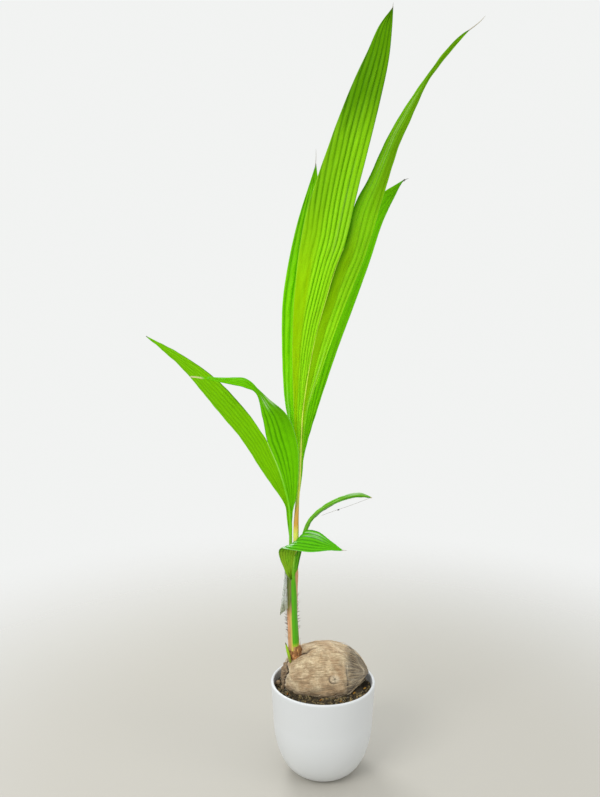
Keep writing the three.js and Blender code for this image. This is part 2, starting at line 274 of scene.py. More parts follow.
glaze, tree, shader = new_material("white_glaze")
place = objected(tree)
ripple = noise(tree, place, 24.0, 1.0)
white = mixed(tree, noise(tree, place, 7.0, 2.0), (0.67, 0.69, 0.70, 1), (0.71, 0.725, 0.73, 1))
foot_height = add_node(tree, "SeparateXYZ", {0: place}).outputs["Z"]
bare = ranged(tree, foot_height, 0.0006, 0.0002)
polish = ranged(tree, ripple, 0.3, 0.7, 0.36, 0.42)
dull = maths(tree, "MAXIMUM", polish, bare)
set_inputs(tree, shader, Base_Color=mixed(tree, bare, white, (0.72, 0.66, 0.56, 1)), Roughness=dull,
           Normal=bumped(tree, ripple, 0.00008, 0.3), Coat_Weight=0.3, Coat_Roughness=0.3)
pot = skin("glazed_pot", lathe(pot_line, pot_sides), glaze)
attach(pot, "root")
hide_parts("pot")

# Soil: coarse dark potting mix, uneven on top. Loose crumbs, tan bark chips, white perlite, a few
# pieces of golden bark and two of husk lie on it between the nut and the pot's wall.
mm = 0.001
soil_level = 0.1575
soil_radius = 0.0887
soil_bottom = 0.0078
soil_rings = 84
soil_sides = 240
litter_radius = 0.0868
nut_clear_long = 0.0815
nut_clear_wide = 0.0565
crumb_count = 1500
chip_count = 110
perlite_count = 60
husk_centre = np.array([0.003, 0.012, 0.171])
husk_half = np.array([0.080, 0.055, 0.065])


def smooth_noise(points, wavelength, seed, waves=14):
    """The sum of seeded sine waves in random directions, each 0.7 to 1.5 times the wavelength long,
    divided by the root of half their number: about 0 on average, with a spread of about 1."""
    random = np.random.default_rng(seed)
    ways = unit(random.normal(size=(waves, 3)))
    pace = 2 * np.pi / (wavelength * random.uniform(0.7, 1.5, (waves, 1)))
    start = random.uniform(0, 2 * np.pi, waves)
    return np.sin(points @ (ways * pace).T + start).sum(-1) / math.sqrt(waves / 2)


def soil_top(x, y):
    """Height of the soil: its level plus lumps of three sizes, a little lower towards the wall."""
    flat = np.stack([x, y, 0 * x], -1)
    reach = np.hypot(x, y) / soil_radius
    lumps = 0.0011 * smooth_noise(flat, 0.022, 3) + 0.0006 * smooth_noise(flat, 0.008, 4)
    grit = 0.0005 * smooth_noise(flat, 0.0035, 5, 24)
    return soil_level + lumps + grit - 0.002 * reach ** 6


def pebbles(name, places, sizes, roughness, seed, material, **marks):
    """Jittered icosahedra: each corner is pushed out or in by a random share of the radius, then the
    whole is stretched by its sizes (n, 3), turned by a random quaternion and moved to its place."""
    random = np.random.default_rng(seed)
    ball = bmesh.new()
    bmesh.ops.create_icosphere(ball, subdivisions=1, radius=1.0)
    corners = np.array([corner.co[:] for corner in ball.verts])
    faces = np.array([[corner.index for corner in face.verts] for face in ball.faces])
    ball.free()
    many = len(places)
    w, x, y, z = unit(random.normal(size=(many, 4))).T
    turned = np.stack([
        1 - 2 * (y * y + z * z), 2 * (x * y - z * w), 2 * (x * z + y * w),
        2 * (x * y + z * w), 1 - 2 * (x * x + z * z), 2 * (y * z - x * w),
        2 * (x * z - y * w), 2 * (y * z + x * w), 1 - 2 * (x * x + y * y)], -1).reshape(many, 3, 3)
    shape = corners * (1 + roughness * random.uniform(-1, 1, (many, len(corners), 1))) * sizes[:, None]
    points = np.einsum("nij,nkj->nki", turned, shape) + places[:, None]
    offsets = (np.arange(many) * len(corners))[:, None, None]
    marks = {mark: np.repeat(values, len(corners)) for mark, values in marks.items()}
    return make_piece(name, points.reshape(-1, 3), (faces + offsets).reshape(-1, 3), material, False, **marks)


def scatter_on_soil(many, seed, lift):
    """Random places on the soil, outside the nut's outline and inside the wall."""
    random = np.random.default_rng(seed)
    reach = litter_radius * np.sqrt(random.uniform(0.05, 1, many * 8))
    turn = random.uniform(0, 2 * np.pi, many * 8)
    x, y = reach * np.cos(turn), reach * np.sin(turn)
    from_nut = ((x - husk_centre[0]) / nut_clear_long) ** 2 + ((y - husk_centre[1]) / nut_clear_wide) ** 2
    outside = from_nut > 1
    x, y = x[outside][:many], y[outside][:many]
    return np.stack([x, y, soil_top(x, y) + lift], -1)


def marked(tree, name):
    """The value of a piece's own mark."""
    return add_node(tree, "Attribute", attribute_name=name).outputs["Fac"]


def crumb_material(name, tones, grain, roughness):
    """Dull crumbs: each takes a tone between two colours by its own mark, with fine dark grain."""
    material, tree, shader = new_material(name)
    tone = mixed(tree, marked(tree, "tone"), tones[0], tones[1])
    fine = noise(tree, objected(tree), grain, 5.0, 0.7)
    set_inputs(tree, shader, Base_Color=mixed(tree, ranged(tree, fine, 0.3, 0.7, 0.0, 0.6), tone, tones[2]),
               Roughness=roughness, Normal=bumped(tree, fine, 0.0008))
    return material


soil_reach = np.linspace(1, 1e-4, soil_rings) * soil_radius
soil_side = lathe(np.vstack([
    [[1e-5, soil_bottom]], pot_profile(soil_bottom, 0.150, pot_wall + 0.0004, 14)]), soil_sides)
soil_turn = np.linspace(0, 2 * np.pi, soil_sides, endpoint=False)
soil_x = soil_reach[:, None] * np.cos(soil_turn)
soil_y = soil_reach[:, None] * np.sin(soil_turn)
soil_cover = np.stack([soil_x, soil_y, soil_top(soil_x, soil_y)], -1)
damp_soil = crumb_material("damp_soil", ("3a3222", "4c402c", "18140c"), 420.0, 0.95)
soil_mass = np.concatenate([soil_side, soil_cover])
soil = skin("potting_soil", soil_mass, damp_soil, tone=np.full(soil_mass.shape[:2], 0.5))
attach(soil, "root")
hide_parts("soil")

random = np.random.default_rng(11)
crumb_width = 0.0009 + 0.0021 * random.uniform(0, 1, crumb_count) ** 2.5
crumb_size = crumb_width[:, None] * random.uniform(0.6, 1.3, (crumb_count, 3))
crumbs = pebbles(
    "soil_crumbs", scatter_on_soil(crumb_count, 12, 0.0003), crumb_size, 0.3, 13,
    crumb_material("crumbs", ("403622", "b09c6c", "1e180e"), 600.0, 0.95),
    tone=random.uniform(0, 1, crumb_count) ** 2.2)
chip_width = random.uniform(0.0010, 0.0024, (chip_count, 1))
chip_size = chip_width * [1.6, 0.8, 0.4] * random.uniform(0.7, 1.3, (chip_count, 3))
chips = pebbles(
    "bark_chips", scatter_on_soil(chip_count, 14, 0.0013), chip_size, 0.22, 15,
    crumb_material("bark", ("6a5a40", "c4a468", "3a2e22"), 350.0, 0.85), tone=random.uniform(0, 1, chip_count))
perlite_width = random.uniform(0.0005, 0.0012, (perlite_count, 1))
perlite_size = perlite_width * random.uniform(0.8, 1.2, (perlite_count, 3))
perlite = pebbles(
    "perlite", scatter_on_soil(perlite_count, 16, 0.0010), perlite_size, 0.2, 17,
    crumb_material("perlite_white", ("a8a490", "e0dcc8", "9a947e"), 900.0, 0.8),
    tone=random.uniform(0, 1, perlite_count))
golden_spots = np.array([
    [-64.5, -30.2], [77.0, -6.0], [-5.6, -52.0], [55.8, -27.0], [30.0, -60.0], [70.0, 30.0]]) * mm
golden_places = np.column_stack([golden_spots, soil_top(golden_spots[:, 0], golden_spots[:, 1]) + 0.0016])
golden = pebbles(
    "golden_bark", golden_places, np.tile([0.0034, 0.0016, 0.0010], (6, 1)), 0.2, 18,
    crumb_material("golden_bark", ("c07a2c", "e0a83c", "6a4418"), 500.0, 0.85), tone=random.uniform(0, 1, 6))
fragment_places = np.array([[-82.6, 3.5, 163.0], [-73.6, -12.5, 161.5]]) * mm
fragments = pebbles(
    "husk_fragments", fragment_places,
    np.array([[0.0030, 0.0046, 0.0062], [0.0022, 0.0040, 0.0052]]), 0.16, 19,
    crumb_material("husk_bark", ("8a7458", "a08868", "3c2f22"), 260.0, 0.9), tone=np.array([0.4, 0.8]))
for bits in (crumbs, chips, perlite, golden, fragments):
    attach(bits, "root")

# Nut in its husk: a blunt three-ribbed egg of matted coir lying on its side. Fine grain runs from end
# to end, the right end is weathered grey and flattened, a slit opens beside the shoot, and the left
# end is cracked. Loose coir lies along the skin.
husk_tilt = math.radians(-4)
husk_rows = 230
husk_columns = 372
husk_slit = np.array([[-47, -4, 218], [-41, -3, 222], [-27.6, -3.2, 227], [-9.4, 2.8, 232], [9, 16, 232]]) * mm
husk_split = np.array([
    [-66, -14, 150], [-68.4, -10.2, 158], [-70.3, -10.1, 169], [-68.8, -10.7, 183], [-63.5, -13.9, 192],
    [-64, -7, 198], [-66, 8, 201], [-68, 26, 193]]) * mm
husk_seam = np.array([
    [45.5, -8, 222], [45.3, -19, 214], [45.4, -29, 201], [44.7, -34, 188], [44.8, -35, 172]]) * mm
husk_cracks = [
    np.array([[-77, -1, 187], [-71, -4, 186], [-64, -9, 189]]) * mm,
    np.array([[-78, 6, 178], [-72, -5, 176], [-69, -10, 172]]) * mm,
    np.array([[-72, 10, 199], [-63, 2, 205], [-55, -3, 211]]) * mm,
    np.array([[52, 3, 218], [60, -3, 210], [68, -4, 200]]) * mm,
    np.array([[50, -14, 211], [58, -14, 204], [70, -8, 193]]) * mm,
    np.array([[49, -24, 202], [58, -20, 195], [72, -9, 187]]) * mm,
    np.array([[40, 30, 219], [56, 30, 206], [68, 24, 192]]) * mm]
husk_edges = [
    np.array([[62, 2, 208], [70, -2, 200], [76, -2, 190], [71, -12, 181]]) * mm,
    np.array([[46.5, -22, 211], [46.8, -31, 199], [46.4, -35, 186]]) * mm,
    np.array([[-62, -18, 191], [-66, -14, 182], [-67, -14, 168]]) * mm]
husk_stains = np.array([
    [8.9, -12.5, 229], [15, -24, 221], [22, -32, 211], [27.3, -35, 204], [30, -38.7, 190]]) * mm
husk_scar = np.array([0.0200, -0.0406, 0.1918])
grain_long = 0.010
grain_round = 0.055


def curve_points(path, shares):
    """Points at shares of the length of a centripetal Catmull-Rom curve through a path. Each stretch
    is the cubic with the ends' values and slopes, where the knots lie apart by the root of the
    distance, and the first and last points are mirrored to give the ends their slopes."""
    path = np.asarray(path, float)
    knots = np.vstack([2 * path[0] - path[1], path, 2 * path[-1] - path[-2]])
    apart = np.sqrt(np.linalg.norm(np.diff(knots, axis=0), axis=1))[:, None]

    def at(places):
        first = np.clip(places.astype(int), 0, len(path) - 2)
        w = (places - first)[:, None]
        p0, p1, p2, p3 = (knots[first + k] for k in range(4))
        d0, d1, d2 = (apart[first + k] for k in range(3))
        slope1 = d1 * ((p1 - p0) / d0 - (p2 - p0) / (d0 + d1) + (p2 - p1) / d1)
        slope2 = d1 * ((p2 - p1) / d1 - (p3 - p1) / (d1 + d2) + (p3 - p2) / d2)
        square = 3 * (p2 - p1) - 2 * slope1 - slope2
        return p1 + slope1 * w + square * w ** 2 + (2 * (p1 - p2) + slope1 + slope2) * w ** 3

    places = np.linspace(0, len(path) - 1, 900)
    steps = np.linalg.norm(np.diff(at(places), axis=0), axis=1)
    length = np.concatenate([[0], np.cumsum(steps)])
    return at(np.interp(np.asarray(shares) * length[-1], length, places))


def husk_skin(share, turn, grow=0.0):
    """Points of the bare husk. At the share x of the half-length the girth is (1 - |x| ** b) ** 0.55,
    with b 2.4 on the left and 2.1 on the right, and the radius swells by 3.5% at three ribs. The
    whole is tilted a little and moved to its centre."""
    blunt = np.where(share < 0, 2.4, 2.1)
    girth = (1 - np.abs(share) ** blunt) ** 0.55
    swell = girth * (1 + 0.035 * np.cos(3 * turn - np.pi / 2))
    half = husk_half + grow
    x, y, z = share * half[0], swell * half[1] * np.cos(turn), swell * half[2] * np.sin(turn)
    tilted = np.stack([x * math.cos(husk_tilt) + z * math.sin(husk_tilt), y,
                       z * math.cos(husk_tilt) - x * math.sin(husk_tilt)], -1)
    return tilted + husk_centre


def ramp(values, low, high):
    """0 up to low, 1 from high on, and straight between them."""
    return np.clip((values - low) / (high - low), 0, 1)


def bell(values, middle, width):
    """e to the power of minus the square of (value - middle) / width: 1 at the middle, about a third
    at the width from it."""
    return np.exp(-((values - middle) / width) ** 2)


def nearness(points, path, width):
    """A bell that is 1 on a path and falls to about a third at that width from it."""
    line = curve_points(path, np.linspace(0, 1, 40))
    return bell(np.min([np.linalg.norm(points - place, axis=-1) for place in line], axis=0), 0, width)


def bristles(name, paths, radii, material, **marks):
    """Tapering four-sided hairs along paths (hairs, points, 3). Each point carries a diamond of its
    radius (hairs, points), square to the line from the hair's root to its tip."""
    many, count = paths.shape[:2]
    chord = unit(paths[:, -1] - paths[:, 0])
    spare = np.where(np.abs(chord[:, 2:]) > 0.8, [[1.0, 0, 0]], [[0, 0, 1.0]])
    side = unit(np.cross(chord, spare))
    other = np.cross(chord, side)
    turn = np.arange(4) * np.pi / 2
    spread = np.cos(turn)[:, None] * side[:, None] + np.sin(turn)[:, None] * other[:, None]
    points = paths[:, :, None] + radii[:, :, None, None] * spread[:, None]
    row, column = np.meshgrid(np.arange(count - 1) * 4, np.arange(4), indexing="ij")
    here, beside = row + column, row + (column + 1) % 4
    tube = np.stack([here, beside, beside + 4, here + 4], -1).reshape(-1, 4)
    faces = np.vstack([tube, [[3, 2, 1, 0]], np.arange(4)[None] + (count - 1) * 4])
    offsets = (np.arange(many) * count * 4)[:, None, None]
    marks = {mark: np.repeat(values, count * 4) for mark, values in marks.items()}
    return make_piece(name, points.reshape(-1, 3), (faces + offsets).reshape(-1, 4), material, True, **marks)


def new_group(name, inputs, outputs):
    """An empty shader node group with named sockets, and its two end nodes."""
    group = bpy.data.node_groups.new(name, "ShaderNodeTree")
    for way, sockets in (("INPUT", inputs), ("OUTPUT", outputs)):
        for socket, kind in sockets.items():
            group.interface.new_socket(socket, in_out=way, socket_type="NodeSocket" + kind)
    return group, group.nodes.new("NodeGroupInput"), group.nodes.new("NodeGroupOutput")


# Fibre grain: strands along one stretched axis, as a mask of dark gaps and a height
fibre_grain, group_in, group_out = new_group(
    "fibre_grain", {"Vector": "Vector", "Contrast": "Float"}, {"Strands": "Float", "Height": "Float"})
fine = noise(fibre_grain, group_in.outputs["Vector"], 1.0, 5.0, 0.62)
broad = noise(fibre_grain, group_in.outputs["Vector"], 0.27, 2.0, 0.5)
height = maths(fibre_grain, "MULTIPLY", maths(fibre_grain, "MULTIPLY", fine, broad), 2.0)
above = maths(fibre_grain, "SUBTRACT", height, 0.5)
strong = maths(fibre_grain, "MULTIPLY", above, group_in.outputs["Contrast"])
fibre_grain.links.new(maths(fibre_grain, "ADD", strong, 0.5, use_clamp=True), group_out.inputs["Strands"])
fibre_grain.links.new(height, group_out.inputs["Height"])


def grained(tree, vector, contrast):
    """The fibre grain's strands and height on a stretched vector."""
    node = add_node(tree, "Group", node_tree=fibre_grain)
    tree.links.new(vector, node.inputs["Vector"])
    node.inputs["Contrast"].default_value = contrast
    return node.outputs["Strands"], node.outputs["Height"]


husk_share = -np.cos(np.pi * np.linspace(0.02, 0.98, husk_rows))[:, None]
husk_turn = np.linspace(0, 2 * np.pi, husk_columns, endpoint=False)[None]
husk_base = husk_skin(husk_share, husk_turn)
husk_out = unit(husk_skin(husk_share, husk_turn, 0.01) - husk_base)

# Husk facets: the upper and the lower flat face at the right end, each a point on it, its outward
# normal and the share by which what lies beyond it is pressed in
upper_normal = unit(np.cross([0.0375, 0.0081, -0.0367], [0.0024, -0.0263, -0.0310]))
upper_normal = upper_normal * np.sign(upper_normal[0])
husk_facets = (
    ([0.0400, -0.0065, 0.2218], upper_normal, 0.78),
    ([0.0572, -0.0277, 0.1723], np.array([0.712, -0.363, -0.599]), 0.8))


def pressed(points, bare):
    """Points over the husk, moved in by each facet's share of how far the bare ones lie beyond it."""
    for place, normal, share in husk_facets:
        beyond = np.clip((bare - place) @ normal, 0, None)[..., None]
        points = points - share * beyond * normal
    return points


meridian = np.stack([husk_share * grain_long + 0 * husk_turn, grain_round * np.cos(husk_turn) + 0 * husk_share,
                     grain_round * np.sin(husk_turn) + 0 * husk_share], -1)
east, up = husk_base[..., 0], husk_base[..., 2]
slit = nearness(husk_base, husk_slit, 0.0022) * (1 - 0.9 * ramp(east, -0.042, -0.010))
split = nearness(husk_base, husk_split, 0.0024)
seam = nearness(husk_base, husk_seam, 0.0010) * ramp(up, 0.216, 0.206)
cracks = np.max([nearness(husk_base, path, 0.0010) for path in husk_cracks], axis=0)
edges = np.max([nearness(husk_base, path, 0.0014) for path in husk_edges], axis=0)
stains = nearness(husk_base, husk_stains, 0.0034)
from_scar = husk_base - husk_scar
scar_reach = np.linalg.norm(from_scar * [0.85, 1, 1.1], axis=-1)
scar_turn = np.arctan2(from_scar[..., 2], from_scar[..., 0])
scar_star = np.exp(-(np.sin(2.5 * scar_turn + 0.7) * scar_reach / 0.0011) ** 2 - (scar_reach / 0.0055) ** 2)
scar_ring = bell(scar_reach, 0.0088, 0.0011) * ramp(np.cos(scar_turn - 3.9), -0.2, 0.7)
scar = np.exp(-(scar_reach / 0.0078) ** 4)
chunk = ramp(nearness(husk_base, husk_split + [-0.009, 0, 0], 0.009) + ramp(east, -0.066, -0.072), 0.3, 0.8)
rough_end = smooth_noise(husk_base, 0.0075, 27, 30)
bulges = 0.0009 * smooth_noise(husk_base, 0.045, 21) + 0.0006 * smooth_noise(husk_base, 0.016, 22)
grooves = 0.00022 * smooth_noise(meridian, 0.0060, 23, 40) + 0.00013 * smooth_noise(meridian, 0.0032, 24, 60)
relief = bulges + grooves - 0.0044 * slit - 0.0042 * split - 0.0014 * seam - 0.0016 * cracks + 0.0007 * edges
relief = relief + 0.0009 * scar - 0.0013 * scar_star - 0.0009 * scar_ring + 0.0013 * chunk * rough_end
husk_mesh = pressed(husk_base + husk_out * relief[..., None], husk_base)
weathered = ramp(east + 0.0022 * smooth_noise(husk_base, 0.012, 25, 30), 0.040, 0.050)
# Painted shade: the dark mark darkens the slit, the split, the seam, the cracks, the scar's grooves and the
# hollows of the rough left end
husk_recess_shade = np.clip(1.3 * slit + 1.2 * split + 0.9 * seam + 0.75 * cracks + scar_star + 0.8 * scar_ring
                    + 0.35 * chunk * ramp(rough_end, 0.2, -0.8), 0, 1)
shaded = 0.7 * nearness(husk_base, np.array([[53, -2, 217], [56, -10, 208]]) * mm, 0.007)
# The husk turns darker towards the bottom, where it sinks into the soil
husk_dirt = ramp(up - 0.0016 * smooth_noise(husk_base, 0.012, 26), 0.166, 0.158)

coir, tree, shader = new_material("husk_skin")
along_grain = add_node(tree, "CombineXYZ", {
    0: marked(tree, "grain_long"), 1: marked(tree, "grain_across"), 2: marked(tree, "grain_up")}).outputs[0]
fine_strands, height = grained(tree, add_node(tree, "Mapping", {
    "Vector": along_grain, "Scale": (13, 90, 90)}).outputs[0], 2.8)
broad_strands = noise(tree, add_node(tree, "Mapping", {
    "Vector": along_grain, "Scale": (9, 30, 30)}).outputs[0], 1.0, 5.0)
place = objected(tree)
tan = mixed(tree, ranged(tree, noise(tree, place, 40.0), 0.36, 0.66), "ecdab4", "d4b68e")
tan = mixed(tree, ranged(tree, noise(tree, place, 130.0), 0.5, 0.72, 0.0, 0.6), tan, "b89c7c")
tan = mixed(tree, ranged(tree, broad_strands, 0.40, 0.60, 0.35, 0.0), tan, "a0886a")
tan = mixed(tree, ranged(tree, noise(tree, place, 420.0, 2.0), 0.56, 0.68, 0.0, 0.5), tan, "8a7254")
blotches = noise(tree, place, 62.0, 4.0, 0.65)
worn = maths(tree, "MAXIMUM", fine_strands, ranged(tree, blotches, 0.44, 0.60, 0.0, 0.85))
tan = mixed(tree, ranged(tree, blotches, 0.50, 0.34, 0.0, 0.45), tan, "b08e66")
tan = mixed(tree, worn, "947a5a", tan)
tan = mixed(tree, marked(tree, "stained"), tan, "a88460")
grey = mixed(tree, ranged(tree, broad_strands, 0.35, 0.6), "786c5a", "b8aa90")
grey = mixed(tree, fine_strands, "625644", grey)
skin_tone = mixed(tree, marked(tree, "weathered"), tan, grey)
# Over the tone: chunky fibre, the pale scar and edges, painted shade on the shaded patch and in the recesses
# (the dark mark), and darker towards the soil
for mark, tone in (("chunky", mixed(tree, fine_strands, "523c26", "a0845e")), ("pale", "ecdfc2"),
                   ("shaded", "564a3a"), ("dark", "2e2117"), ("dirt", "6a5840")):
    skin_tone = mixed(tree, marked(tree, mark), skin_tone, tone)
set_inputs(tree, shader, Base_Color=skin_tone, Roughness=0.88, Normal=bumped(tree, height, 0.0008),
           Sheen_Weight=0.15, Sheen_Roughness=0.5)
husk = skin("nut_husk", husk_mesh, coir, weathered=weathered, dark=husk_recess_shade, dirt=husk_dirt,
            chunky=0.8 * chunk, stained=0.35 * stains, pale=np.clip(0.5 * scar + 0.75 * edges, 0, 1),
            shaded=shaded,
            grain_long=meridian[..., 0] / grain_long, grain_across=meridian[..., 1] / grain_round,
            grain_up=meridian[..., 2] / grain_round)
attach(husk, "root")
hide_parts("coconut_husk")

strand_count = 420
strand_points = 9
random = np.random.default_rng(31)
strand_start = random.uniform(-0.93, 0.75, (strand_count, 1))
strand_length = random.uniform(0.12, 0.42, (strand_count, 1))
strand_walk = np.linspace(0, 1, strand_points)[None]
strand_share = np.clip(strand_start + strand_length * strand_walk, -0.985, 0.985)
strand_turn = random.uniform(-0.15, np.pi + 0.9, (strand_count, 1))
strand_turn = strand_turn + random.normal(0, 0.05, (strand_count, 1)) * strand_walk ** 2
strand_lift = 0.0003 + np.abs(random.normal(0, 0.0011, (strand_count, 1))) * np.sin(strand_walk * np.pi) ** 2
strand_loose = np.clip(random.normal(-0.002, 0.0035, (strand_count, 1)), 0, None)
strand_lift = strand_lift + strand_loose * strand_walk ** 4
strand_base = husk_skin(strand_share, strand_turn)
strand_out = unit(husk_skin(strand_share, strand_turn, 0.01) - strand_base)
strand_paths = pressed(strand_base + strand_out * strand_lift[..., None], strand_base)
strand_radii = random.uniform(0.00014, 0.00030, (strand_count, 1)) * np.sqrt(1.02 - strand_walk ** 3)


def thread_material(name, tones, grain, roughness, dark_from, relief):
    """Dry threads: each takes a tone between two colours by its own mark, with spots of a third."""
    material, tree, shader = new_material(name)
    tone = mixed(tree, marked(tree, "tone"), tones[0], tones[1])
    grit = noise(tree, objected(tree), grain)
    spots = ranged(tree, grit, dark_from, dark_from + 0.4, 0.0, 0.5)
    set_inputs(tree, shader, Base_Color=mixed(tree, spots, tone, tones[2]), Roughness=roughness,
               Normal=bumped(tree, grit, relief))
    return material


coir_strand = thread_material("coir_strand", ("b09470", "f0dfbc", "80684a"), 700.0, 0.8, 0.35, 0.0003)
strands_piece = bristles(
    "coir_strands", strand_paths, strand_radii, coir_strand, tone=random.uniform(0, 1, strand_count))
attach(strands_piece, "root")

# Collar: the knobbly fibrous ring where the shoot breaks out of the husk, brown-orange, with torn
# fibres that stand up round it.
collar_path = np.array([[-48.5, 5, 192], [-50, 4.6, 214], [-52, 4.2, 236]]) * mm
collar_foot = 0.192
collar_tall = 0.044
collar_across = [0.012, 0.0124, 0.0106]
collar_deep = [0.011, 0.0114, 0.0102]


def along(values, shares):
    """Values at equal steps, read in a straight line at shares of the way."""
    return np.interp(shares, np.linspace(0, 1, len(values)), values)


def limb(path, across, deep, rows, sides, level=False, round_ends=0.0):
    """Oval rings (rows, sides, 3) along a path. Each is its centre plus across times cos a along the
    sideways unit vector and deep times sin a along the one square to it. Level rings lie flat.
    Rounded ends shrink by the root of 1 - (1 - d / round_ends) ** 2 at the distance d from an end."""
    shares = np.linspace(0, 1, rows)
    centre = curve_points(path, shares)
    way = unit(np.gradient(centre, axis=0))
    if level:
        way = np.tile([0.0, 0.0, 1.0], (rows, 1))
    sideways = unit(np.cross([0.0, 1.0, 0.0], way))
    backward = np.cross(way, sideways)
    turn = (np.arange(sides) + 0.5) / sides * 2 * np.pi
    half_across, half_deep = along(across, shares), along(deep, shares)
    if round_ends:
        length = np.concatenate([[0], np.cumsum(np.linalg.norm(np.diff(centre, axis=0), axis=1))])
        near = np.clip(np.minimum(length, length[-1] - length) / round_ends, 0.004, 1)
        shrink = np.sqrt(1 - (1 - near) ** 2)
        half_across, half_deep = half_across * shrink, half_deep * shrink
    rings = (centre[:, None] + (half_across[:, None] * np.cos(turn))[..., None] * sideways[:, None]
             + (half_deep[:, None] * np.sin(turn))[..., None] * backward[:, None])
    return rings, unit(rings - centre[:, None]), np.broadcast_to(shares[:, None], rings.shape[:2])


collar_rings, collar_out, collar_share = limb(collar_path, collar_across, collar_deep, 46, 64, True)
knobs = 0.0010 * smooth_noise(collar_rings, 0.011, 41)
knobs = knobs + 0.0005 * smooth_noise(collar_rings * [1, 1, 0.4], 0.0035, 42, 30)
collar_rings = collar_rings + collar_out * (knobs - 0.0009 * collar_share ** 4)[..., None]
collar_fibre, tree, shader = new_material("collar_fibre")
strands, height = grained(tree, objected(tree, (800, 800, 110)), 2.4)
place = objected(tree)
amber = mixed(tree, ranged(tree, noise(tree, place, 130.0), 0.35, 0.65), colour("eeb070"), colour("c88854"))
amber = mixed(tree, ranged(tree, noise(tree, place, 75.0), 0.55, 0.72), amber, colour("d0cc60"))
right_dark = ranged(tree, add_node(tree, "SeparateXYZ", {0: place}).outputs["X"], -0.049, -0.040)
amber = mixed(tree, right_dark, amber, colour("8a6238"))
set_inputs(tree, shader, Base_Color=mixed(tree, strands, colour("7e4e2a"), amber),
           Roughness=0.82, Normal=bumped(tree, height, 0.0009))
collar = skin("shoot_collar", collar_rings, collar_fibre)
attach(collar, "root")
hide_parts("fibre_collar")

tuft_count = 230
random = np.random.default_rng(43)
tuft_turn = random.uniform(0, 2 * np.pi, (tuft_count, 1))
tuft_rise = random.uniform(0.205, 0.226, (tuft_count, 1))
tuft_length = random.uniform(0.007, 0.020, (tuft_count, 1))
tuft_walk = np.linspace(0, 1, 7)[None]
tuft_height = tuft_rise + tuft_length * tuft_walk
tuft_flare = 0.0116 + random.uniform(-0.0004, 0.0018, (tuft_count, 1)) * tuft_walk ** 1.5
tuft_flare = tuft_flare - 0.09 * np.clip(tuft_height - 0.222, 0, None)
tuft_twist = tuft_turn + random.normal(0, 0.12, (tuft_count, 1)) * tuft_walk
tuft_share = np.clip((tuft_height.ravel() - collar_foot) / collar_tall, 0, 1)
tuft_centre = curve_points(collar_path, tuft_share).reshape(tuft_count, 7, 3)
tuft_paths = np.stack([tuft_centre[..., 0] + tuft_flare * np.cos(tuft_twist),
                       tuft_centre[..., 1] + tuft_flare * 0.94 * np.sin(tuft_twist), tuft_height], -1)
tuft_radii = random.uniform(0.00012, 0.0003, (tuft_count, 1)) * np.sqrt(1.03 - tuft_walk ** 2)
torn_fibre = thread_material("torn_fibre", ("8a5a30", "e0aa68", "3a2413"), 800.0, 0.75, 0.4, 0.0003)
tufts = bristles("collar_fibres", tuft_paths, tuft_radii, torn_fibre, tone=random.uniform(0, 1, tuft_count))
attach(tufts, "root")

# Stem: leaf sheaths rolled round each other, salmon-brown and fibrous, with an overlapping edge that
# winds up them and a dark olive strip at the left. Brown hairs stand at its sides.
stem_path = np.array([
    [-53.2, 4.3, 228], [-53.8, 4.2, 245], [-54.7, 3.9, 266], [-56.1, 3.5, 290], [-56.0, 3, 322],
    [-55.8, 3, 369], [-53.9, 3, 413], [-53.2, 3, 426]]) * mm
stem_levels = [0.228, 0.245, 0.266, 0.290, 0.322, 0.369, 0.390, 0.413, 0.426]
stem_across = [0.0100, 0.0097, 0.0094, 0.0089, 0.0089, 0.0097, 0.0092, 0.0083, 0.0066]
stem_deep = [0.0100, 0.0097, 0.0092, 0.0085, 0.0080, 0.0079, 0.0086, 0.0093, 0.0078]
stem_rows = 220
stem_sides = 56
stem_foot = 0.228
stem_tall = 0.198
stem_rings = limb(stem_path, [0.01], [0.01], stem_rows, stem_sides, True)[0]
stem_height = stem_rings[:, :1, 2]
half_across = np.interp(stem_height, stem_levels, stem_across)
half_deep = np.interp(stem_height, stem_levels, stem_deep)
stem_centre = stem_rings.mean(1, keepdims=True)
stem_turn = (np.arange(stem_sides) + 0.5) / stem_sides * 2 * np.pi
edge_turn = 3.6 + 5.5 * (stem_height - 0.236) + 0.25 * np.sin(stem_height * 55)
past_edge = np.mod(stem_turn[None] - edge_turn, 2 * np.pi)
lap = 0.0007 * (np.clip(past_edge / 0.35, 0, 1) - past_edge / (2 * np.pi))
stem_grooves = 0.00016 * smooth_noise(stem_rings * [1, 1, 0.06], 0.0028, 51, 30)
spread = np.stack([
    half_across * np.cos(stem_turn), half_deep * np.sin(stem_turn), 0 * half_across * stem_turn], -1)
stem_rings = stem_centre + spread * (1 + (lap + stem_grooves)[..., None] / 0.0085)
mouth_wave = (stem_height - 0.40) / 0.026 * 0.004 * np.sin(stem_turn * 2 + 0.6)
stem_rings[..., 2] += np.where(stem_height > 0.40, mouth_wave, 0)
lap_mask = bell(past_edge, 0, 0.16) + np.exp(-((2 * np.pi - past_edge) / 0.10) ** 2)
left_strip = np.exp(-((stem_turn[None] - 1.24 * np.pi) / 1.1) ** 4) * ramp(
    stem_height + 0.006 * np.sin(stem_turn * 5 + 1), 0.294, 0.318)
yellow_line = bell(stem_turn[None], 1.44 * np.pi, 0.19) * ramp(stem_height, 0.306, 0.290)
rolled_sheath, tree, shader = new_material("rolled_sheath")
strands, height = grained(tree, objected(tree, (900, 900, 28)), 2.2)
rise = add_node(tree, "SeparateXYZ", {0: objected(tree)}).outputs["Z"]
broad = noise(tree, objected(tree, (90, 90, 18)), 1.0)
narrow = noise(tree, objected(tree, (140, 140, 30)), 1.0)
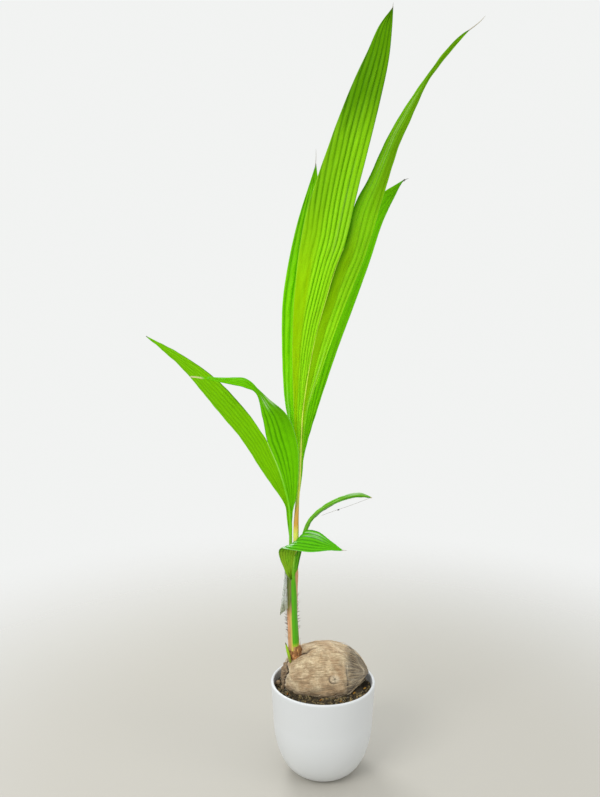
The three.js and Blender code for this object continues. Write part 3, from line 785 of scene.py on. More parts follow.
salmon = mixed(tree, ranged(tree, broad, 0.35, 0.68), "e8b080", "d29c6c")
salmon = mixed(tree, ranged(tree, rise, 0.375, 0.410), salmon, "d4cc88")
salmon = mixed(tree, ranged(tree, narrow, 0.58, 0.74), salmon, "c4c070")
salmon = mixed(tree, strands, "c08a58", salmon)
salmon = mixed(tree, marked(tree, "yellow"), salmon, "d8cc58")
salmon = mixed(tree, marked(tree, "strip"), salmon, mixed(tree, strands, "44501a", "727e34"))
salmon = mixed(tree, ranged(tree, marked(tree, "edge"), 0.3, 1.0, 0.0, 0.4), salmon, "8a5830")
set_inputs(tree, shader, Base_Color=salmon, Roughness=0.55, Normal=bumped(tree, height, 0.0005))
stem = skin("sheath_stem", stem_rings, rolled_sheath, strip=left_strip, yellow=yellow_line, edge=lap_mask)
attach(stem, "root")
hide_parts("stem")


def stem_side(height, turn, out=0.0):
    """Points on the stem's oval skin at a height and turn, moved out by a distance."""
    share = np.clip((height - stem_foot) / stem_tall, 0, 1)
    centre = curve_points(stem_path, share.ravel()).reshape(*share.shape, 3)
    wide = np.interp(height, stem_levels, stem_across) + out
    deep = np.interp(height, stem_levels, stem_deep) + out
    return np.stack([centre[..., 0] + wide * np.cos(turn), centre[..., 1] + deep * np.sin(turn), height], -1)


hair_count = 130
random = np.random.default_rng(52)
hair_walk = np.linspace(0, 1, 8)[None]
hair_left = random.uniform(0, 1, (hair_count, 1)) < 0.55
hair_height = np.where(
    hair_left, random.uniform(0.244, 0.345, (hair_count, 1)), random.uniform(0.240, 0.330, (hair_count, 1)))
hair_turn = np.where(hair_left, np.pi, 0.0) + random.normal(0, 0.55, (hair_count, 1))
hair_length = random.uniform(0.003, 0.011, (hair_count, 1))
hair_rise = hair_height + hair_length * random.uniform(0.2, 1.0, (hair_count, 1)) * hair_walk
hair_rise = hair_rise + 0.002 * hair_walk ** 2
hair_reach = hair_length * random.uniform(0.35, 0.95, (hair_count, 1)) * hair_walk ** 1.3 - 0.0006
hair_curl = random.normal(0, 0.25, (hair_count, 1)) * hair_walk ** 2
hair_paths = stem_side(hair_rise, hair_turn + hair_curl, hair_reach)
bold_count = 17
bold = np.arange(hair_count)[:, None] < bold_count
bold_right = np.arange(bold_count)[:, None] >= 12
bold_height = np.concatenate([np.linspace(0.262, 0.293, 12), np.linspace(0.272, 0.300, 5)])[:, None]
bold_height = bold_height + random.uniform(-0.001, 0.001, (bold_count, 1)) + 0.0026 * hair_walk ** 2
bold_turn = np.where(bold_right, 0.0, np.pi) + random.uniform(-0.3, 0.3, (bold_count, 1))
bold_length = np.where(bold_right, 0.0065, 0.0055) * random.uniform(0.7, 1.2, (bold_count, 1))
bold_reach = bold_length * hair_walk - 0.0004
hair_paths[:bold_count] = stem_side(bold_height, bold_turn, bold_reach)
hair_width = np.where(bold, 0.00046, random.uniform(0.00016, 0.00028, (hair_count, 1)))
hair_radii = hair_width * np.sqrt(1.02 - hair_walk ** 2)
brown_hair = thread_material("brown_hair", ("5d4028", "b08850", "2a1c10"), 900.0, 0.6, 0.4, 0.0002)
hair_tone = random.uniform(0, 1, hair_count) * (np.arange(hair_count) >= bold_count)
hairs = bristles("stem_hairs", hair_paths, hair_radii, brown_hair, tone=hair_tone)
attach(hairs, "root")

# Scale leaf: the short pointed first leaf beside the collar, green, with a dark dried tip. It is
# thick and fleshy, an oval that narrows to its point, with fine grooves along it.
scale_path = np.array([[-59.5, -8, 208], [-63.5, -8, 226], [-68.5, -6, 245]]) * mm
scale_across = [0.0023, 0.0025, 0.0025, 0.0020, 0.0006]
scale_deep = [0.0034, 0.0034, 0.0030, 0.0022, 0.0008]
scale_rings, scale_out = limb(scale_path, scale_across, scale_deep, 60, 28, False, 0.0012)[:2]
scale_grooves = 0.00015 * smooth_noise(scale_rings * [1, 1, 0.08], 0.0016, 61, 24)
scale_rings = scale_rings + scale_out * scale_grooves[..., None]
scale_green, tree, shader = new_material("scale_green")
strands, height = grained(tree, objected(tree, (1200, 1200, 45)), 1.8)
rise = add_node(tree, "SeparateXYZ", {0: objected(tree)}).outputs["Z"]
green = mixed(tree, ranged(tree, rise, 0.212, 0.226), colour("8a9030"), colour("9cc80c"))
green = mixed(tree, ranged(tree, rise, 0.238, 0.245), green, colour("4a3a1c"))
set_inputs(tree, shader, Base_Color=mixed(tree, ranged(tree, strands, 0.1, 0.6), colour("6c8c14"), green),
           Roughness=0.45, Normal=bumped(tree, height, 0.0004))
scale_leaf = skin("first_scale_leaf", scale_rings, scale_green)
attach(scale_leaf, "root")
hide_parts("scale_leaf")

# Dry sheath: a papery pale grey remnant of the first sheath, one thin pleated sheet that hangs at the
# stem's left side from its dark upper end
dry_inner = np.array([[-63.4, 2, 376], [-63.2, 1.5, 342], [-64, 0, 309], [-77, -7, 299]]) * mm
dry_outer = np.array([[-68, -3, 383], [-73, -6, 340], [-78, -8, 298]]) * mm


def blade(name, side, inner, outer, material, pleats, depth, rows, columns, camber=0.0, crease=(0.5, 0.0),
          lost=((0, 1), (0, 0)), thick=0.0007, seed=1, ripple=0.0, dry_tip=0.009, **masks):
    """A closed pleated sheet between an inner and an outer edge. At the share t of its length and s of
    its width, the middle lies at inner(t) + s (outer(t) - inner(t)) + rise, along the unit vector that
    is square to both and faces the viewer. The rise, as a share of the width, is the camber's arch
    4 s (1 - s), a roof with its ridge at the crease, and 2 |sin(pi pleats s)| ** 0.8 - 1 for the
    pleats. The calm mask flattens them, and a lost share of them, given at places t, has run out at the
    outer edge. Each mask is a function of t and s, and becomes a mark."""
    t = np.linspace(0, 1, rows)[:, None]
    s = np.linspace(0, 1, columns)[None] + 0 * t
    root, edge = curve_points(inner, t[:, 0]), curve_points(outer, t[:, 0])
    reach = edge - root
    width = np.linalg.norm(reach, axis=-1, keepdims=True)
    forward = unit(np.gradient(root, axis=0)) + unit(np.gradient(edge, axis=0))
    facing = unit(np.cross(forward, reach)) * -side
    masks = {mark: masks[mark](t, s) + 0 * s if mark in masks else 0 * s
             for mark in ("deep", "band", "gloss_and_painted_highlight", "calm")}
    spot = np.stack([s * 3, t * 4 + 0 * s, 0 * s], -1)
    phase = (s + 0.010 * np.sin(np.pi * s) * smooth_noise(spot, 1.4, seed)) * (1 - np.interp(t, *lost))
    wave = 2 * np.abs(np.sin(np.pi * pleats * phase)) ** 0.8 - 1
    wave = wave + (0.3 - wave) * masks.pop("calm")
    middle, roof = crease
    arch = camber * 4 * s * (1 - s) + roof * np.minimum(s / middle, (1 - s) / (1 - middle))
    fold = 0.5 * depth / pleats * wave * (0.15 + 0.85 * ramp(t, 0.05, 0.34) - 0.4 * ramp(t, 0.8, 1))
    fold = fold * (1 + 0.2 * smooth_noise(spot * [1, 2, 1], 1.1, seed + 1))
    rise = width * (arch + fold) + ripple * smooth_noise(spot * [2, 6, 1], 1.0, seed + 2)
    centre = root[:, None] + reach[:, None] * s[..., None] + facing[:, None] * rise[..., None]
    half = 0.5 * thick * np.clip(np.sqrt(np.minimum(s, 1 - s) * width / 0.0015 + 0.05), 0.2, 1)
    front = centre + facing[:, None] * half[..., None]
    back = centre - facing[:, None] * half[..., None]
    length = np.sum(np.linalg.norm(np.diff(edge, axis=0), axis=1))
    marks = {"across": s, "along": t + 0 * s, "ridge": wave,
             "margin": np.exp(-((1 - s) * width / 0.0006) ** 2),
             "tip": ramp(t * length, length - dry_tip, length) + 0 * s, **masks}
    marks = {mark: np.concatenate([values, values[:, ::-1]], axis=1) for mark, values in marks.items()}
    return skin(name, np.concatenate([front, back[:, ::-1]], axis=1), material, **marks)


def let_light_through(tree, shader, share, **values):
    """Mixes a share of light let through into a shader, on its way to the output."""
    through = add_node(tree, "BsdfTranslucent", values)
    blend = add_node(tree, "MixShader", {0: share, 1: shader.outputs[0], 2: through.outputs[0]})
    tree.links.new(blend.outputs[0], tree.nodes["Material Output"].inputs["Surface"])


dry_paper, tree, shader = new_material("dry_paper")
strands, height = grained(tree, objected(tree, (800, 800, 60)), 2.0)
rise = add_node(tree, "SeparateXYZ", {0: objected(tree)}).outputs["Z"]
paper = mixed(tree, strands, "e4e6e0", "fafcfa")
paper = mixed(tree, ranged(tree, rise, 0.328, 0.304), paper, mixed(tree, strands, "b4b79e", "e2e6d2"))
spots = ranged(tree, noise(tree, objected(tree, (260, 260, 36)), 1.0), 0.58, 0.70, 0.0, 0.35)
paper = mixed(tree, spots, paper, "7e7a66")
paper = mixed(tree, ranged(tree, rise, 0.371, 0.382, 0.0, 0.85), paper, "5a5540")
set_inputs(tree, shader, Base_Color=paper, Roughness=0.85, Normal=bumped(tree, height, 0.0006))
let_light_through(tree, shader, 0.5, Color=paper)
dry_sheath = blade("dry_remnant", -1, dry_inner, dry_outer, dry_paper, 2.5, 0.3, 90, 34, camber=0.14,
                   thick=0.0006, seed=71, ripple=0.0006)
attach(dry_sheath, "root")
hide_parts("dry_sheath")

# Front leaf: the tallest, split to a notch in two long lobes. Its stalk runs on as the pale midrib.
# The left lobe is a bright sheet with ten pleats. The right one is folded along its length.
front_stalk_path = np.array([
    [-50, 1, 398], [-49, 0, 413.3], [-49.1, 0, 454], [-48.2, 0, 481], [-46.4, -0.3, 510], [-43.5, -1, 545],
    [-42, -2, 576], [-37.6, -5.5, 666], [-32, -8.3, 707], [-26, -11.7, 745], [-16.3, -17, 794], [-8, -21, 828],
    [0.5, -25, 857], [11.4, -30.4, 895.5], [24, -36, 932], [31, -38, 948]]) * mm
front_left_free = np.array([
    [38.5, -42, 976], [50.6, -47, 1031], [59, -50.5, 1066], [69, -54, 1106], [87, -56, 1181],
    [99.5, -54.5, 1243], [104, -53, 1290], [105.5, -52, 1323]]) * mm
front_left_outer = np.array([
    [-50, -1, 522], [-52, -3, 560], [-53, -14, 655], [-55, -28, 769], [-52, -40, 862], [-35, -54, 989],
    [9, -62, 1123], [43, -58, 1208], [65, -56, 1254], [83, -53.5, 1293], [104, -52, 1321]]) * mm
front_right_free = np.array([
    [49, -28, 1019], [72, -24, 1063], [109, -16, 1141], [160, -4, 1220], [211, 8, 1286], [229, 13, 1302],
    [241, 17, 1310]]) * mm
front_right_outer = np.array([
    [-42, -0.5, 524], [-37.5, -1, 560], [-30, -3, 662], [-4, -8, 743], [31, -12, 843], [68, -14, 937],
    [103.5, -11, 1055], [125, -6.5, 1122], [142.5, -3, 1160], [173, 4, 1225], [209.5, 10.5, 1273],
    [231, 14, 1298], [241, 17, 1308.5]]) * mm

# Leaf look: stripes by the pleats, with partly painted shade in their creases, fine veins, painted shade
# where the deep mark lies, smooth parts, glossy streaks with a painted highlight, a thin pale margin and a dry
# tip
leaf_look, group_in, group_out = new_group("leaf_look", {
    "Across": "Float", "Along": "Float", "Ridge": "Float", "Margin": "Float", "Tip": "Float", "Deep": "Float",
    "Band": "Float", "Gloss_and_painted_highlight": "Float", "Crest": "Color", "Valley": "Color", "Depth": "Color",
    "Smooth": "Color", "Edge": "Color", "Dry": "Color", "Seed": "Float"},
    {"Color": "Color", "Roughness": "Float", "Height": "Float", "Gloss": "Float"})
given = group_in.outputs


def blade_noise(across, along, detail):
    """Noise that is across times finer over the blade's width and along times finer over its length."""
    wide = maths(leaf_look, "MULTIPLY", given["Across"], across)
    long = maths(leaf_look, "MULTIPLY", given["Along"], along)
    place = add_node(leaf_look, "CombineXYZ", {0: wide, 1: long, 2: given["Seed"]})
    return noise(leaf_look, place.outputs[0], 1.0, detail, 0.55)


veins = blade_noise(60.0, 2.0, 2.0)
patches = blade_noise(3.0, 7.0, 3.0)
streaks = blade_noise(14.0, 2.5, 2.0)
low_down = ranged(leaf_look, given["Along"], 0.08, 0.36, 0.9, 0.0)
fan = ranged(leaf_look, blade_noise(11.0, 0.8, 1.0), 0.42, 0.58, -0.15, 1.3)
# Stripes by the pleats: the valley colour lies in their creases, partly the leaf's own darker tone and partly
# painted shade; low down, broad stripes paint the pleats' light and shade
stripes = add_node(leaf_look, "Mix", {
    0: low_down, 2: ranged(leaf_look, given["Ridge"], -0.9, 0.9), 3: fan}, data_type="FLOAT").outputs[0]
green = mixed(leaf_look, stripes, given["Valley"], given["Crest"])
green = mixed(leaf_look, given["Band"], green, given["Smooth"])
green = mixed(leaf_look, ranged(leaf_look, veins, 0.35, 0.7, 0.0, 0.10), green, given["Valley"])
green = mixed(leaf_look, ranged(leaf_look, patches, 0.4, 0.7, 0.0, 0.25), green, given["Crest"])
# Painted shade: the deep mark darkens the colour by the shade tint on parts turned from the light and in cast
# shadow
green = mixed(leaf_look, given["Deep"], green, given["Depth"], "MULTIPLY")
# The shine mark gives coat gloss, and where it is strong it mixes the pale edge colour in as a painted
# highlight
gloss_and_highlight_streaks = maths(leaf_look, "MULTIPLY", given["Gloss_and_painted_highlight"], ranged(leaf_look, streaks, 0.38, 0.6, 0.25, 1.0))
green = mixed(leaf_look, ranged(leaf_look, gloss_and_highlight_streaks, 0.3, 1.0, 0.0, 0.55), green, given["Edge"])
green = mixed(leaf_look, maths(leaf_look, "MULTIPLY", given["Margin"], 0.25), green, given["Edge"])
dry_break = maths(leaf_look, "ADD", given["Tip"], patches)
green = mixed(leaf_look, ranged(leaf_look, dry_break, 0.95, 1.25), green, given["Dry"])
leaf_look.links.new(green, group_out.inputs["Color"])
leaf_look.links.new(ranged(leaf_look, veins, 0.3, 0.7, 0.40, 0.52), group_out.inputs["Roughness"])
leaf_look.links.new(veins, group_out.inputs["Height"])
leaf_look.links.new(ranged(leaf_look, gloss_and_highlight_streaks, 0.0, 1.0, 0.0, 1.0), group_out.inputs["Gloss"])


# The edge colour is that of the pale margin and of the painted highlight
def leaf_material(name, crest, valley, depth, smooth, edge="c8e070", dry="8d8a6c", seed=0.0, glow=0.12):
    """A blade: the leaf look on a Principled shader, mixed with a share of light let through."""
    material, tree, shader = new_material(name)
    look = add_node(tree, "Group", node_tree=leaf_look)
    for socket in ("Across", "Along", "Ridge", "Margin", "Tip", "Deep", "Band", "Gloss_and_painted_highlight"):
        tree.links.new(marked(tree, socket.lower()), look.inputs[socket])
    for socket, code in (("Crest", crest), ("Valley", valley), ("Depth", depth), ("Smooth", smooth),
                         ("Edge", edge), ("Dry", dry)):
        look.inputs[socket].default_value = colour(code)
    look.inputs["Seed"].default_value = seed
    relief = bumped(tree, look.outputs["Height"], 0.00015)
    set_inputs(tree, shader, Base_Color=look.outputs["Color"], Roughness=look.outputs["Roughness"],
               Normal=relief, Specular_IOR_Level=0.04, Coat_Weight=look.outputs["Gloss"], Coat_Roughness=0.3)
    sunlit = mixed(tree, 0.3, look.outputs["Color"], (0.62, 0.95, 0.0, 1))
    let_light_through(tree, shader, glow, Color=sunlit, Normal=relief)
    return material


def stalk_material(name, bands, rough=0.45, spots=0.0):
    """A smooth stalk whose colour runs through bands (share of the way, colour), with faint streaks
    and a share of brown spots."""
    material, tree, shader = new_material(name)
    banded = add_node(tree, "ValToRGB", {0: marked(tree, "along")})
    stops = banded.color_ramp.elements
    while len(stops) < len(bands):
        stops.new(0.5)
    for stop, (share, code) in zip(stops, bands):
        stop.position = share
        stop.color = colour(code)
    strands, height = grained(tree, objected(tree, (1100, 1100, 40)), 1.6)
    darker = mixed(tree, 1.0, banded.outputs[0], (0.8, 0.78, 0.6, 1), "MULTIPLY")
    green = mixed(tree, ranged(tree, strands, 0.0, 0.55), darker, banded.outputs[0])
    blots = ranged(tree, noise(tree, objected(tree, (190, 190, 95)), 1.0), 0.60, 0.70, 0.0, spots)
    set_inputs(tree, shader, Base_Color=mixed(tree, blots, green, colour("8a5f34")), Roughness=rough,
               Normal=bumped(tree, height, 0.0003), Specular_IOR_Level=0.25,
               Coat_Weight=0.08, Coat_Roughness=0.3)
    return material


def riding(path, blade_from, free, skip=1):
    """The inner edge of a lobe: fourteen points of the midrib from where the blade starts up to the
    notch, then the free edge. skip leaves out the stalk's first points, which stand in the stem."""
    return np.vstack([curve_points(path[skip:], np.linspace(blade_from, 1, 14)), free])


def stem_front(points):
    """How far back the stem's front skin lies at the points' place across and height: its centre less
    its half depth times the root of 1 - d ** 2 at the share d of its half width."""
    across, height = points[..., 0], points[..., 2]
    centre = np.interp(height, stem_path[:, 2], stem_path[:, 0])
    share = np.clip((across - centre) / np.interp(height, stem_levels, stem_across), -0.95, 0.95)
    return 0.0032 - np.interp(height, stem_levels, stem_deep) * np.sqrt(1 - share ** 2)


def stalk(name, path, across, deep, material, rows=220, sides=26, seed=1, wrapped=False):
    """A tapering oval stalk with faint grooves along it. A wrapped one is bent round the stem: each
    point moves back as the stem's skin there lies behind the skin at the ring's middle."""
    rings, out, share = limb(path, across, deep, rows, sides, False, 0.0012)
    rings = rings + out * (0.00006 * smooth_noise(rings * [1, 1, 0.05], 0.0014, seed, 24))[..., None]
    if wrapped:
        rings[..., 1] += stem_front(rings) - stem_front(rings.mean(1, keepdims=True))
    return skin(name, rings, material, along=share)


front_stalk_green = stalk_material("front_stalk_green", [
    (0.0, "c4a05c"), (0.085, "f0f068"), (0.12, "dca848"), (0.163, "dcae54"), (0.196, "d8dc60"),
    (0.228, "ecf060"), (0.30, "f4f878"), (0.55, "e8ff60"), (0.8, "dcf858"), (1.0, "d0f050")], spots=0.2)
front_stalk = stalk("front_midrib", front_stalk_path,
                    [0.0047, 0.0048, 0.0032, 0.0025, 0.0017, 0.0012, 0.0009, 0.0007, 0.0006, 0.0005, 0.0003],
                    [0.0044, 0.0044, 0.0032, 0.0026, 0.0019, 0.0015, 0.0012, 0.0010, 0.0008, 0.0006, 0.0004],
                    front_stalk_green, 260, 28, 81)
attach(front_stalk, "root")
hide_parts("front_leaf_stalk")

front_left_green = leaf_material(
    "front_left_green", "b8fc20", "84c800", "90a838", "aede00", seed=1.0, glow=0.3)
front_left = blade("front_left_blade", -1, riding(front_stalk_path, 0.195, front_left_free), front_left_outer,
                   front_left_green, 10.0, 0.32, 220, 111, camber=0.05,
                   lost=((0.3, 0.48, 0.55, 0.75, 1), (0.22, 0, 0, 0.3, 0.6)), seed=83, ripple=0.0004,
                   # Painted shade on the upper lobe and on its upper outer part
                   deep=lambda t, s: np.interp(
                       t, [0.46, 0.6, 0.74, 0.83, 0.93, 1.0], [0.0, 0.2, 0.36, 0.86, 0.95, 1.0])
                   + 0.3 * ramp(t, 0.46, 0.62) * ramp(s, 0.35, 0.85) * ramp(t, 0.95, 0.8),
                   gloss_and_painted_highlight=lambda t, s: 0.7 * bell(s, 0.2, 0.2) * ramp(t, 0.46, 0.54) * ramp(t, 0.72, 0.62),
                   calm=lambda t, s: ramp(s, 0.56, 0.68) * ramp(t, 0.62, 0.45),
                   band=lambda t, s: ramp(s, 0.56, 0.68) * ramp(t, 0.62, 0.45))
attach(front_left, "root")
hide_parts("front_leaf_left_lobe")

front_right_green = leaf_material(
    "front_right_green", "b4f820", "94dc08", "90b060", "98ce00", edge="c8ec78", dry="a09a7e",
    seed=2.0, glow=0.3)
front_right = blade("front_right_blade", 1, riding(front_stalk_path, 0.195, front_right_free),
                    front_right_outer, front_right_green, 4.5, 0.2, 220, 91, crease=(0.4, 0.08),
                    seed=87, ripple=0.0004,
                    # Painted shade on the upper part, and the painted shadow of the left lobe along the inner
                    # edge
                    deep=lambda t, s: 0.3 * ramp(t, 0.36, 0.54) + 0.3 * ramp(t, 0.58, 0.72)
                    + 0.8 * ramp(s, 0.2, 0.04) * ramp(t, 0.34, 0.42) * ramp(t, 0.75, 0.6),
                    calm=lambda t, s: np.maximum(
                        ramp(s, 0.5, 0.4) * ramp(t, 0.6, 0.5), 0.3 * ramp(t, 0.4, 0.55)),
                    band=lambda t, s: ramp(s, 0.5, 0.4) * ramp(t, 0.06, 0.12) * ramp(t, 0.6, 0.48)
                    + np.maximum(0.7 * ramp(t, 0.84, 0.92), 0.7 * ramp(s, 0.5, 0.62) * ramp(t, 0.56, 0.66)),
                    gloss_and_painted_highlight=lambda t, s: 1.1 * bell(s, 0.72, 0.14) * ramp(t, 0.06, 0.16) * ramp(t, 0.36, 0.26)
                    + 0.8 * bell(s, 0.3, 0.17) * ramp(t, 0.5, 0.68) * ramp(t, 0.9, 0.82))
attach(front_right, "root")
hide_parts("front_leaf_right_lobe_rise", "front_leaf_right_lobe_tip")

# Back leaf: behind the front one and of a deeper green. It is split like that one in two pleated
# lobes, and its thin round stalk runs on between them.
back_stalk_path = np.array([
    [-48, 8, 400], [-48, 8, 413.3], [-48.5, 9.5, 469], [-45.5, 12, 524], [-40, 19, 613], [-31, 32, 720],
    [-21, 46, 817], [-4, 60, 906]]) * mm
back_left_free = np.array([[-4, 72, 977], [-7, 84, 1048], [-13, 92, 1105]]) * mm
back_left_outer = np.array([
    [-47, 13, 525], [-60, 24, 631], [-69.5, 36, 684], [-74.5, 48, 790], [-72.8, 56, 861], [-62, 62, 932],
    [-45.6, 74, 1003], [-17, 90, 1093]]) * mm
back_right_free = np.array([
    [6, 62, 937], [29, 66, 971], [70, 71, 1022], [111, 75, 1055], [126, 78, 1064], [146, 84, 1076]]) * mm
back_right_outer = np.array([
    [-43, 13, 527], [-36, 20, 577], [-27.6, 26, 612], [-16.9, 32, 647.6], [6.5, 42, 718.8], [31.6, 50, 790],
    [58.4, 58, 861.3], [83.8, 64, 932.3], [106.3, 72, 1000], [141, 83, 1071]]) * mm
back_stalk_green = stalk_material("back_stalk_green", [
    (0.0, "b8b058"), (0.2, "acc844"), (0.5, "98d43c"), (1.0, "d0e890")])
back_stalk = stalk("back_midrib", back_stalk_path, [0.0030, 0.0029, 0.0022, 0.0016, 0.0011, 0.0006],
                   [0.0030, 0.0029, 0.0022, 0.0016, 0.0011, 0.0006], back_stalk_green, 200, 24, 91)
back_left_green = leaf_material("back_left_green", "8ae004", "6cc402", "888c70", "7ae000", edge="dcf0a0",
                                dry="8a8c7a", seed=3.0)
back_left = blade("back_left_blade", -1, riding(back_stalk_path, 0.20, back_left_free), back_left_outer,
                  back_left_green, 5.5, 0.25, 170, 67, camber=0.03, seed=93, ripple=0.0004,
                  deep=lambda t, s: 0.4 * ramp(t, 0.6, 0.9),
                  gloss_and_painted_highlight=lambda t, s: 0.9 * bell(s, 0.85, 0.12) * ramp(t, 0.04, 0.12) * ramp(t, 0.4, 0.25))
back_right_green = leaf_material("back_right_green", "84e000", "62b800", "909878", "58b800", edge="c4e878",
                                 dry="6d6a5c", seed=4.0)
back_right = blade("back_right_blade", 1, riding(back_stalk_path, 0.20, back_right_free), back_right_outer,
                   back_right_green, 5.5, 0.25, 170, 67, camber=0.04, seed=96, ripple=0.0004,
                   calm=lambda t, s: 0.65 * ramp(t, 0.3, 0.5),
                   deep=lambda t, s: 0.4 * ramp(t, 0.8, 0.97))
for piece, slot, node in (
        (back_stalk, "stalk", "back_leaf_stalk"), (back_left, "leaf", "back_leaf_left_lobe"),
        (back_right, "leaf", "back_leaf_right_lobe")):
    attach(piece, "root")
    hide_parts(node)

# Left leaf: it leans far to the left. Its long lobe reaches out straight, and the other one rises,
# bends over at a glossy crest and ends in a thin point.
left_stalk_path = np.array([
    [-58.5, 1.5, 400], [-59, 1, 413.3], [-59, -2, 473], [-62, -5, 505], [-77, -12, 562], [-99, -16, 617]]) * mm
long_free = np.array([[-140, -8, 675], [-196, 8, 730], [-258, 30, 769], [-319, 54, 797]]) * mm
long_outer = np.array([
    [-61.8, 0, 444], [-65.4, -2, 474], [-67.8, -4, 497], [-73, -5, 509], [-89.5, -5, 534], [-110.5, -3, 564],
    [-142, 4, 613], [-195, 18, 675], [-253, 36, 741], [-317, 54, 795]]) * mm
bent_free = np.array([
    [-107, -28, 662], [-117, -44, 706], [-134, -52, 716], [-182, -62, 728], [-224, -70, 736]]) * mm
bent_outer = np.array([
    [-56.8, 0, 444], [-55.8, -5, 473], [-53.2, -10, 497], [-49.8, -14, 510], [-46, -21, 535], [-46, -30, 614],
    [-64, -36, 667], [-96, -36, 696], [-112, -36, 711], [-134, -30, 729],
    [-169, -44, 732], [-223, -68, 737]]) * mm
left_stalk_green = stalk_material("left_stalk_green", [
    (0.0, "a4c050"), (0.25, "74cc10"), (0.6, "80d818"), (1.0, "b0e860")])
left_stalk = stalk("left_midrib", left_stalk_path, [0.0028, 0.0028, 0.0026, 0.0018, 0.0009],
                   [0.0028, 0.0028, 0.0026, 0.0018, 0.0009], left_stalk_green, 150, 24, 101)
long_green = leaf_material("long_lobe_green", "80cc02", "72ba02", "888c70", "88dc00", edge="d8f098",
                           dry="6a7a3a", seed=5.0)
long_lobe = blade("long_blade", -1, riding(left_stalk_path, 0.17, long_free), long_outer, long_green,
                  6.5, 0.14, 190, 79, camber=0.05, seed=103, ripple=0.0004,
                  deep=lambda t, s: 0.7 * ramp(s, 0.06, 0.0) * ramp(t, 0.45, 0.55))
bent_green = leaf_material("bent_lobe_green", "74d000", "54a400", "888c70", "74d400", edge="c4e0a4",
                           dry="d8dc9c", seed=6.0)
bent_lobe = blade("bent_blade", 1, riding(left_stalk_path, 0.17, bent_free), bent_outer, bent_green,
                  5.5, 0.22, 210, 67, camber=0.04, seed=106, ripple=0.0003, dry_tip=0.042,
                  calm=lambda t, s: 0.8 * ramp(s, 0.58, 0.72),
                  # Painted shade on the outer part near the crest
                  deep=lambda t, s: 0.45 * bell(t, 0.6, 0.1) * ramp(s, 0.3, 0.9),
                  gloss_and_painted_highlight=lambda t, s: 0.9 * bell(t, 0.64, 0.05) * ramp(s, 0.1, 0.4))
for piece, slot, *nodes in (
        (left_stalk, "stalk", "left_leaf_stalk"), (long_lobe, "leaf", "left_leaf_long_lobe"),
        (bent_lobe, "leaf", "left_leaf_bent_lobe_rise", "left_leaf_bent_lobe_tip")):
    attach(piece, "root")
    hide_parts(*nodes)

# Low leaf: its flat green stalk lies on the stem. One lobe curls forwards in a glossy pleated bowl,
# and the other arches up to the right.
low_stalk_path = np.array([
    [-49.4, -5.8, 236], [-50.4, -6.2, 266], [-51.7, -6.6, 293], [-52.4, -6.8, 320], [-53.3, -7.4, 347],
    [-54.2, -8.8, 374], [-53.2, -10.8, 392], [-51, -12, 410]]) * mm
curled_free = np.array([
    [-44, -15, 433], [-33, -24, 459], [-11, -38, 462], [11, -52, 450], [32, -64, 437]]) * mm
curled_outer = np.array([
    [-59, -11, 364], [-67, -12, 376], [-71, -14, 388], [-77, -17, 404], [-80, -22, 420], [-75, -38, 433],
    [-56, -56, 436], [-25, -66, 435], [9, -68, 438], [31, -65, 436]]) * mm
arching_free = np.array([
    [-45, -4, 422], [-28, 10, 467], [5, 20, 495], [39, 24, 511], [66, 24, 516], [88, 20, 508]]) * mm
arching_outer = np.array([
    [-46, -11, 385], [-38, -12, 421], [-19, -8, 473], [11, -2, 496], [47, 4, 509], [69, 10, 510],
    [87, 18, 507]]) * mm
low_stalk_green = stalk_material("low_stalk_green", [
    (0.0, "c8c450"), (0.02, "98bc28"), (0.05, "54ac08"), (0.7, "58b008"), (0.85, "78c020"),
    (1.0, "9ccc40")], rough=0.4)
low_stalk = stalk("low_stalk", low_stalk_path, [0.0057, 0.0055, 0.0049, 0.0049, 0.0044, 0.0034, 0.0012],
                  [0.0020, 0.0022, 0.0024, 0.0025, 0.0023, 0.0018, 0.0012], low_stalk_green,
                  180, 40, 111, wrapped=True)
curled_green = leaf_material("curled_lobe_green", "62c412", "3c8c08", "686c30", "94bc28", edge="dcecd8",
                             dry="d8dcc8", seed=7.0)
curled_lobe = blade("curled_blade", -1, riding(low_stalk_path, 0.77, curled_free, 0), curled_outer,
                    curled_green, 6.5, 0.28, 190, 79, camber=0.04, seed=113, ripple=0.0002, dry_tip=0.006,
                    # Painted shade in the bottom of the bowl
                    deep=lambda t, s: ramp(t, 0.13 - 0.05 * s + 0.03 * np.sin(21 * s), 0.0),
                    band=lambda t, s: 0.85 * ramp(t, 0.42, 0.3),
                    gloss_and_painted_highlight=lambda t, s: bell(t, 0.47, 0.06) * ramp(s, 0.25, 0.6)
                    + 0.9 * ramp(t, 0.5, 0.56) * ramp(t, 0.95, 0.7) * bell(s, 0.18, 0.2))
arching_green = leaf_material("arching_lobe_green", "76bc26", "3c8c10", "707c50", "60b020", edge="dceed8",
                              dry="e8d4b0", seed=8.0)
arching_lobe = blade("arching_blade", 1, riding(low_stalk_path, 0.76, arching_free, 0), arching_outer,
                     arching_green, 2.5, 0.3, 150, 31, camber=0.05, seed=116, ripple=0.0002, dry_tip=0.006,
                     deep=lambda t, s: 0.5 * ramp(s, 0.55, 0.95),
                     gloss_and_painted_highlight=lambda t, s: 0.2 + 0.8 * bell(t, 0.84, 0.14) * ramp(s, 0.75, 0.25))
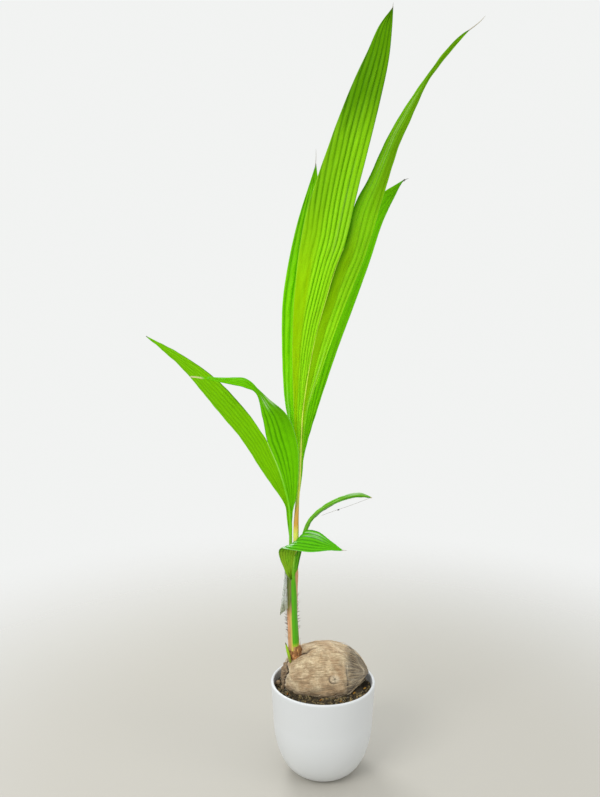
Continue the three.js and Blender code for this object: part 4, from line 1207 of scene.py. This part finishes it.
for piece, slot, *nodes in (
        (low_stalk, "stalk", "low_leaf_stalk"),
        (curled_lobe, "leaf", "low_leaf_curled_lobe_rise", "low_leaf_curled_lobe_tip"),
        (arching_lobe, "leaf", "low_leaf_arching_lobe_rise", "low_leaf_arching_lobe_tip")):
    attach(piece, "root")
    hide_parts(*nodes)

# Threads: the dried points of the leaves, and one loose filament with a brown speck on it under the
# arching lobe. All are thin dry ends and shreds of leaf.
thread_paths = np.array([
    [[238, 16.5, 1307], [248, 18.5, 1314.5], [258, 20.5, 1322.5], [268, 22, 1333]],
    [[-14.8, 91, 1098], [-13.6, 92, 1108], [-13.2, 93, 1120], [-13.4, 94, 1130]],
    [[144, 83.5, 1072], [147, 84, 1075], [150, 84.3, 1076.5], [153, 84.5, 1077]],
    [[103.6, -52.6, 1316], [104.4, -52.5, 1321], [105, -52.4, 1325], [105.4, -52.3, 1329]],
    [[22, -60, 440], [29, -63, 437.5], [33.5, -65, 437.6], [38, -66, 437.2]]]) * mm
thread_shares = np.linspace(0, 1, 12)
thread_lines = np.stack([curve_points(path, thread_shares) for path in thread_paths])
thread_widths = np.array([[0.0009], [0.0005], [0.0007], [0.0005], [0.0009]])
thread_radii = thread_widths * np.sqrt(1.02 - thread_shares[None])
dry_thread = thread_material("dry_thread", ("57503e", "c2b99c", "4b4534"), 500.0, 0.7, 0.4, 0.0002)
threads = bristles(
    "dry_threads", thread_lines, thread_radii, dry_thread, tone=np.array([0.9, 0.5, 0.1, 0.5, 0.9]))
filament_path = np.array([
    [85.5, 17, 508.5], [70, 13, 503.5], [48, 8, 496.5], [26.5, 4, 490.2], [10, 1, 485], [-3.3, -2, 481]]) * mm
filament = bristles("loose_filament", curve_points(filament_path, thread_shares)[None],
                    0.00022 + 0 * thread_shares[None], dry_thread, tone=np.array([0.3]))
speck = pebbles(
    "filament_speck", np.array([[0.0265, 0.004, 0.4896]]), np.array([[0.0021, 0.0012, 0.0013]]), 0.3, 118,
    crumb_material("speck_brown", ("4a443a", "5a5244", "2c261e"), 900.0, 0.9), tone=np.array([0.5]))
for piece in (threads, filament, speck):
    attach(piece, "root")
